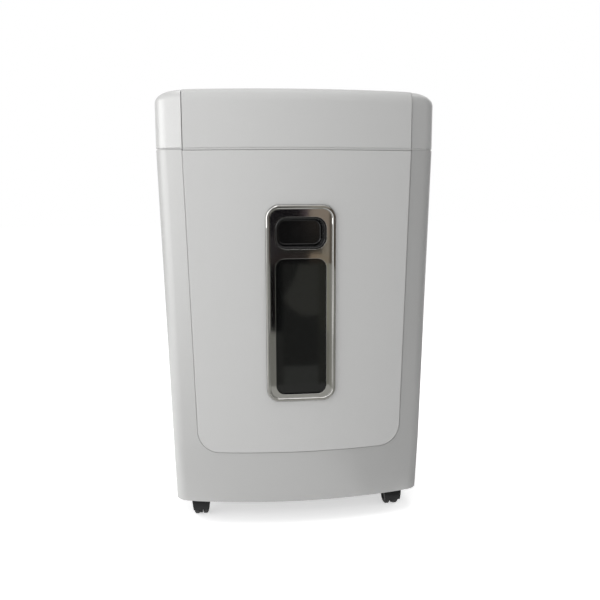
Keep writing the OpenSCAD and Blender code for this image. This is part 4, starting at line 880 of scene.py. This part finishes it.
class BuildDoor(bpy.types.Operator):
    """Bowed door panel with a rolled rim, a low step behind it and the seat of the bezel"""
    bl_idname = "shredder.door"
    bl_label = "Door"

    def execute(self, context):
        d = settings("door")
        top = DOOR_HIGH.z
        # inset and depth of the rolled rim, then of the wall and of the panel's back
        rows = [(1.0, 0.0), (0.62, 0.08), (0.3, 0.3), (0.08, 0.62), (0.0, 1.0), (0.0, DOOR_RIM),
                (DOOR_WALL, DOOR_RIM), (DOOR_WALL, DOOR_SKIN)]
        bm = loft([stand(door_outline(top - inset, inset), depth) for inset, depth in rows])
        door = thing("door_front", self.bend(bm), moulded_abs_light())
        before, at = DOOR_Y - 9, (0, BEZEL_MID)
        seat = rounded(BEZEL_W + 0.1, BEZEL_H + 0.1, d.bezel_corner)
        window = rounded(BEZEL_W - 14, BEZEL_H - 14, d.bezel_corner - 3.5)
        carve(door, "DIFFERENCE", upright(seat, before, BEZEL_HIGH.y, at),
              upright(window, before, 0, at))
        round_edges(door, 0)
        # low step on the rim, just behind the frame, which closes the gap to the eye
        step_w, step_y = d.gap - 0.2, d.proud + 0.6
        rows = [(-step_w, step_y), (-step_w, step_y + 1), (1, step_y + 1), (1, step_y)]
        bm = loft([stand(door_outline(top, inset), depth) for inset, depth in rows], closed=True)
        rim = thing("door_rim_step", self.bend(bm), moulded_abs_light())
        round_edges(rim, 0)
        place(door, "door_panel")
        place(rim, "door_panel")
        dress("bezel_backing", "bezel_screws")
        return {"FINISHED"}

    def bend(self, bm):
        """Bends a flat front to the bow of the door."""
        for x in range(-BEND_HALF, BEND_HALF + 1, BEND_STEP):
            bmesh.ops.bisect_plane(bm, geom=bm.verts[:] + bm.edges[:] + bm.faces[:],
                                   plane_co=(x * MM, 0, 0), plane_no=(1, 0, 0))
        for v in bm.verts:
            v.co.y += (DOOR_Y + bow_sag(v.co.x / MM)) * MM
        return bm


class BuildBezel(bpy.types.Operator):
    """Chrome bezel: a rounded bead round a flat flange with the window and pocket openings"""
    bl_idname = "shredder.bezel"
    bl_label = "Window bezel"

    def execute(self, context):
        d = settings("door")
        back, thick = BEZEL_HIGH.y, BEZEL_HIGH.y - BEZEL_LOW.y
        # inset and height of the bead's outer face, of its crown and of its fall to the flange
        crown, land = d.bead * 0.44, 0.6
        profile = [(0, 0), (0, thick - BEAD_RISE)]
        profile += [(crown * (1 - math.cos(a)), thick - BEAD_RISE + BEAD_RISE * math.sin(a))
                    for a in quarter(6, 1)]
        profile += [(crown + land + (d.bead - crown - land) * math.sin(a),
                     thick - d.flange_drop * (1 - math.cos(a))) for a in quarter(6)]
        width, height = BEZEL_W - 2 * BEZEL_GAP, BEZEL_H - 2 * BEZEL_GAP
        bm = loft([stand(rounded(width - 2 * i, height - 2 * i, d.bezel_corner - i, 18), back - h,
                         (0, BEZEL_MID)) for i, h in profile])
        bezel = thing("bezel_trim", bm, chrome_plated_abs())
        carve(bezel, "DIFFERENCE", *(
            upright(rounded(d.opening_w, high - low, corner, 16), back - thick - 3, back + 3,
                    (0, (low + high) / 2))
            for (low, high), corner in ((window_span(), d.window_corner),
                                        (pocket_span(), d.pocket_corner))))
        round_edges(bezel, 0.8, 3, 60)
        place(bezel, "window_bezel")
        return {"FINISHED"}


def window_span():
    """Lower and upper edge of the window."""
    d = settings("door")
    return BEZEL_LOW.z + d.window_margin, BEZEL_LOW.z + d.window_margin + d.window_h


def pocket_span():
    """Lower and upper edge of the finger pocket."""
    d = settings("door")
    return BEZEL_HIGH.z - d.pocket_margin - d.pocket_h, BEZEL_HIGH.z - d.pocket_margin


class BuildGripPocket(bpy.types.Operator):
    """Finger pocket: a glossy cup with a rolled collar that lines its opening"""
    bl_idname = "shredder.grip_pocket"
    bl_label = "Finger pocket"

    def execute(self, context):
        d = settings("door")
        low, high = pocket_span()
        at, height, width = (0, (low + high) / 2), high - low, d.opening_w
        seat, cup_back = CUP_LOW.y, CUP_HIGH.y
        lip = BEZEL_LOW.y + d.flange_drop - 0.5
        wall, flange, flange_t = 2.0, 3.5, 3
        fit, roll, land, mouth, draft, sweep = 0.15, 1.2, 0.55, 1.6, 0.4, 2.5
        inner, floor = -(fit + roll + land), cup_back - wall
        side = inner - mouth - draft
        # offset from the opening and depth: the cup's outside, its collar, mouth, side and floor
        rings = [(wall, cup_back), (wall, seat + flange_t), (flange, seat + flange_t - 0.1),
                 (flange, seat), (-fit, seat), (-fit, lip + roll)]
        rings += [(-fit - roll * (1 - math.cos(a)), lip + roll * (1 - math.sin(a)))
                  for a in quarter(4, 1)]
        rings += [(inner - mouth * math.sin(a), lip + mouth * (1 - math.cos(a)))
                  for a in quarter(5)]
        rings += [(side - sweep * (1 - math.cos(a)), floor - sweep * (1 - math.sin(a)))
                  for a in quarter(6)]
        bm = loft([stand(rounded(width + 2 * i, height + 2 * i, d.pocket_corner + i, 14), y, at)
                   for i, y in rings])
        pocket = thing("finger_cup", bm, polished_abs_black())
        round_edges(pocket, 0)
        place(pocket, "handle_pocket")
        dress("window_pane")
        return {"FINISHED"}


# ---- bin, casters, controls and works ----------------------------------------------------------

class BuildBin(bpy.types.Operator):
    """Waste bin that rides behind the door"""
    bl_idname = "shredder.bin"
    bl_label = "Waste bin"

    def execute(self, context):
        soften("bin_tub", "waste_bin", 0.8)
        return {"FINISHED"}


class BuildCasters(bpy.types.Operator):
    """Four hooded twin-wheel casters"""
    bl_idname = "shredder.casters"
    bl_label = "Casters"

    def execute(self, context):
        for corner in ("fl", "fr", "bl", "br"):
            soften(f"caster_{corner}_swivel", f"caster_hood_{corner}", 0.9, 3)
            soften(f"caster_{corner}_wheels", f"caster_pair_{corner}", 0.5)
        return {"FINISHED"}


class BuildControls(bpy.types.Operator):
    """Paper throat, control panel, three buttons and the indicator lights"""
    bl_idname = "shredder.controls"
    bl_label = "Throat and controls"

    def execute(self, context):
        soften("feed_throat", "paper_throat", 0.5)
        soften("control_panel", "panel_plate", 0.4)
        for name in ("start", "stop", "reverse"):
            soften("button_" + name, "key_" + name, 0.8, 3)
        soften("indicator_lenses", "light_pipes", 0.3)
        dress("button_board")
        return {"FINISHED"}


class BuildRearInlet(bpy.types.Operator):
    """Mains rocker switch and cord gland in the rear recess"""
    bl_idname = "shredder.rear_inlet"
    bl_label = "Rear switch and gland"

    def execute(self, context):
        soften("rocker_housing", "mains_switch_frame", 0.5)
        soften("rocker_key", "mains_rocker", 0.6, 3, 25)
        soften("cord_gland", "gland_collar", 0.5)
        return {"FINISHED"}


class DressWorks(bpy.types.Operator):
    """Cutter block, gear train, motor and electrics in their own metals and plastics"""
    bl_idname = "shredder.works"
    bl_label = "Works"

    def execute(self, context):
        hidden = {o.get("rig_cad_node") for o in bpy.data.objects if o.hide_render}
        dress(*(node for node in frame["nodes"] if node not in hidden))
        return {"FINISHED"}


# ---- stage -------------------------------------------------------------------------------------

def emitter(name, value, strength=1.0):
    """Even light of one colour."""
    made, tree, _ = new_material(name)
    light = add_node(tree, "Emission", {"Color": (*linear(value), 1), "Strength": strength})
    add_node(tree, "OutputMaterial", {"Surface": light.outputs["Emission"]})
    return made


def screen(start, end, low, high):
    """Upright screen between two places of the plan."""
    (x0, y0), (x1, y1) = start, end
    flat = [(x0, y0), (x1, y1), (x1, y1 + 2), (x0, y0 + 2)]
    return loft([lift(flat, low), lift(flat, high)])


def seen_directly(tree):
    """1 for camera, glossy and transmission rays, 0 for the rays that light the object."""
    path = add_node(tree, "LightPath").outputs
    either = add_node(tree, "Math", {0: path["Is Camera Ray"], 1: path["Is Glossy Ray"]},
                      operation="MAXIMUM").outputs[0]
    return add_node(tree, "Math", {0: either, 1: path["Is Transmission Ray"]},
                    operation="MAXIMUM").outputs[0]


WHITE = (1, 1, 1, 1)


class BuildStage(bpy.types.Operator):
    """White studio: floor, softboxes, the cards that gloss and chrome reflect, and the camera"""
    bl_idname = "shredder.stage"
    bl_label = "Studio"

    def execute(self, context):
        context.scene.view_settings.view_transform = "Standard"
        self.world(context)
        self.floor()
        self.lights(context)
        self.cards()
        self.camera(context)
        return {"FINISHED"}

    def world(self, context):
        """White to the eye, and a weaker even fill on the object."""
        world = bpy.data.worlds.new("studio")
        context.scene.world = world
        world.use_nodes = True
        tree = world.node_tree
        tree.nodes.clear()
        fill = add_node(tree, "Background", {"Color": WHITE, "Strength": settings("stage").fill})
        white = add_node(tree, "Background", {"Color": WHITE, "Strength": 1.0})
        mixed = add_node(tree, "MixShader", {0: seen_directly(tree), 1: fill.outputs[0],
                                             2: white.outputs[0]})
        add_node(tree, "OutputWorld", {"Surface": mixed.outputs[0]})

    def floor(self):
        """Wide pale floor that keeps the soft shadow of the object."""
        made, tree, _ = new_material("studio_floor")
        paper = add_node(tree, "BsdfDiffuse", {"Color": (0.86, 0.86, 0.86, 1)})
        glow = add_node(tree, "Emission", {"Color": WHITE, "Strength": settings("stage").glow})
        both = add_node(tree, "AddShader", {0: paper.outputs[0], 1: glow.outputs[0]})
        mixed = add_node(tree, "MixShader", {0: seen_directly(tree), 1: paper.outputs[0],
                                             2: both.outputs[0]})
        add_node(tree, "OutputMaterial", {"Surface": mixed.outputs[0]})
        flat = rounded(18000, 18000, 2000)
        thing("floor", loft([lift(flat, -6), lift(flat, 0)]), made)

    def lights(self, context):
        """Four softboxes: a large one on the left that shades the bowed front towards the right,
        a strip behind it for the left edge, one over the camera and one overhead."""
        def area(name, at, aim, size, power):
            lamp = bpy.data.lights.new(name, "AREA")
            lamp.shape = "RECTANGLE"
            lamp.size, lamp.size_y = size
            lamp.energy = power
            made = bpy.data.objects.new(name, lamp)
            made.location = at
            made.rotation_euler = (Vector(aim) - Vector(at)).to_track_quat("-Z", "Y").to_euler()
            context.scene.collection.objects.link(made)
        s = settings("stage")
        area("key_softbox", (-1.95, -1.0, 0.95), (0, 0, 0.35), (2.4, 1.7), s.key)
        area("left_strip", (-1.9, 0.9, 1.05), (0, 0, 0.45), (1.2, 1.6), s.rim)
        area("front_softbox", (0.35, -2.7, 1.9), (0, 0, 0.4), (1.8, 1.0), s.front)
        area("top_softbox", (0, -0.3, 2.6), (0, 0, 0.6), (1.6, 1.6), s.top)

    def cards(self):
        """Cards seen only in reflections: before the chrome, round its bead, on the floor, and
        upright at both sides."""
        def card(name, bm, value, strength=1.0):
            made = thing(name, bm, emitter(name, value, strength))
            made.visible_camera = False
            made.visible_diffuse = False
            made.visible_transmission = False
            made.visible_shadow = False

        # Each field is given by the part of the bezel that mirrors it, in mm, and hangs before it
        # where the line from the camera goes on after the mirror.
        stage = settings("stage")
        eye_x, eye_y, eye_z = (c / MM for c in stage.camera_at)
        distance = 600
        share = distance / (BEZEL_LOW.y - eye_y)
        y = BEZEL_LOW.y - distance
        fields = (
            ((-60, 425), (2, 480), "#161417"), ((2, 425), (12, 480), "#4a4045"),
            ((12, 425), (60, 480), "#93877b"), ((-60, 395), (-30, 425), "#2c292b"),
            ((30, 395), (60, 425), "#8d867a"), ((-60, 385), (12, 400), "#2a2524"),
            ((12, 385), (60, 400), "#8b7c6b"), ((-60, 290), (-25, 385), "#0e0e0e"),
            ((25, 290), (60, 395), "#8b8b7d"), ((-60, 180), (-25, 290), "#7d7d78"),
            ((25, 180), (60, 290), "#7a7a71"), ((-25, 240), (25, 385), "#62625e"),
            ((-25, 210), (25, 240), "#a3a59f"), ((-25, 180), (25, 210), "#84837f"),
            ((-30, 400), (30, 425), "#2a2a28"),
        )
        outlines = [([(x0, z0), (x1, z0), (x1, z1), (x0, z1)], value, 0)
                    for (x0, z0), (x1, z1), value in fields]
        sheen = [(0, 312), (25, 312), (25, 384), (-2, 384), (-9, 364), (-24, 337), (-15, 324)]
        outlines.append((sheen, "#a2a298", 1))
        for i, (outline, value, ahead) in enumerate(outlines):
            corners = [(x + (x - eye_x) * share, z + (z - eye_z) * share) for x, z in outline]
            card(f"card_{i}", upright(corners, y - 1 + 2 * ahead, y + 2 * ahead), value,
                 stage.cards)

        # low walls round the bezel, left open at its upper left corner
        x, near, far = BEZEL_HIGH.x + 8, BEZEL_LOW.y - 1, BEZEL_LOW.y - 110
        low, high = BEZEL_LOW.z - 8, BEZEL_HIGH.z + 8
        for name, start, end, value in (
                ("wall_top", (-x + 24, far, high), (x, near, high + 1), "#a3a29e"),
                ("wall_bottom", (-x, far, low - 1), (x, near, low), "#a9a9a5"),
                ("wall_right_top", (x, far, high - 100), (x + 1, near, high), "#5e5850"),
                ("wall_right", (x, far, low), (x + 1, near, high - 100), "#8c8c86"),
                ("wall_left", (-x - 1, far, low), (-x, near, high - 40), "#b4b4b0")):
            card(name, block(start, end), value, stage.cards)

        # A bright screen for the left corner, floor sheets for what leans down, and grey flags that
        # draw the outer edges.
        card("screen_left", screen((-520, -1450), (-1300, -950), 600, 1700), "#ffffff", 2.0)
        card("sheet_left", block((-700, -1500, 1), (130, -170, 2)), "#ffffff", 0.85)
        card("sheet_right", block((130, -1500, 1), (1300, -170, 2)), "#ffffff", 0.3)
        card("sheet_side", block((215, -170, 1), (1300, 900, 2)), "#ffffff", 0.3)
        card("flag_right", screen((700, -1700), (1250, 600), 0, 1700), "#5a5a5a")
        card("flag_left", screen((-1500, 250), (-420, 1300), 0, 1700), "#d4d4d4")

    def camera(self, context):
        """Camera at chest height, a little to the left."""
        s = settings("stage")
        lens = bpy.data.cameras.new("camera")
        lens.lens = s.lens
        lens.sensor_width = 36
        made = bpy.data.objects.new("camera", lens)
        made.location = s.camera_at
        forward = Vector((math.sin(s.pan) * math.cos(s.pitch), math.cos(s.pan) * math.cos(s.pitch),
                          -math.sin(s.pitch)))
        turn = forward.to_track_quat("-Z", "Y").to_matrix() @ Matrix.Rotation(s.roll, 3, "Z")
        made.rotation_euler = turn.to_euler()
        context.scene.collection.objects.link(made)
        context.scene.camera = made


# ---- panel, registration and run ---------------------------------------------------------------

OPERATORS = (BuildStage, BuildCabinet, BuildHeadCovers, BuildDoor, BuildBezel, BuildGripPocket,
             BuildBin, BuildCasters, BuildControls, BuildRearInlet, DressWorks)


class ShredderPanel(bpy.types.Panel):
    """Sidebar panel with the settings and the pieces"""
    bl_idname = "VIEW3D_PT_shredder"
    bl_label = "Paper Shredder"
    bl_space_type = "VIEW_3D"
    bl_region_type = "UI"
    bl_category = "Shredder"

    def draw(self, context):
        for name, group in SETTINGS.items():
            box = self.layout.box()
            box.label(text=group.__doc__)
            for key in group.__annotations__:
                box.prop(getattr(context.scene, name), key)
        for operator in OPERATORS:
            self.layout.operator(operator.bl_idname)


def register():
    """Registers the classes and gives the scene its settings."""
    for group in (*SETTINGS.values(), *OPERATORS, ShredderPanel):
        bpy.utils.register_class(group)
    for name, group in SETTINGS.items():
        setattr(bpy.types.Scene, name, PointerProperty(type=group))


def unregister():
    """Takes the settings and the classes away again."""
    for name in SETTINGS:
        delattr(bpy.types.Scene, name)
    for group in (ShredderPanel, *OPERATORS[::-1], *list(SETTINGS.values())[::-1]):
        bpy.utils.unregister_class(group)


def main():
    """Builds every piece."""
    register()
    for operator in OPERATORS:
        group, name = operator.bl_idname.split(".")
        getattr(getattr(bpy.ops, group), name)()


if __name__ == "__main__":
    main()
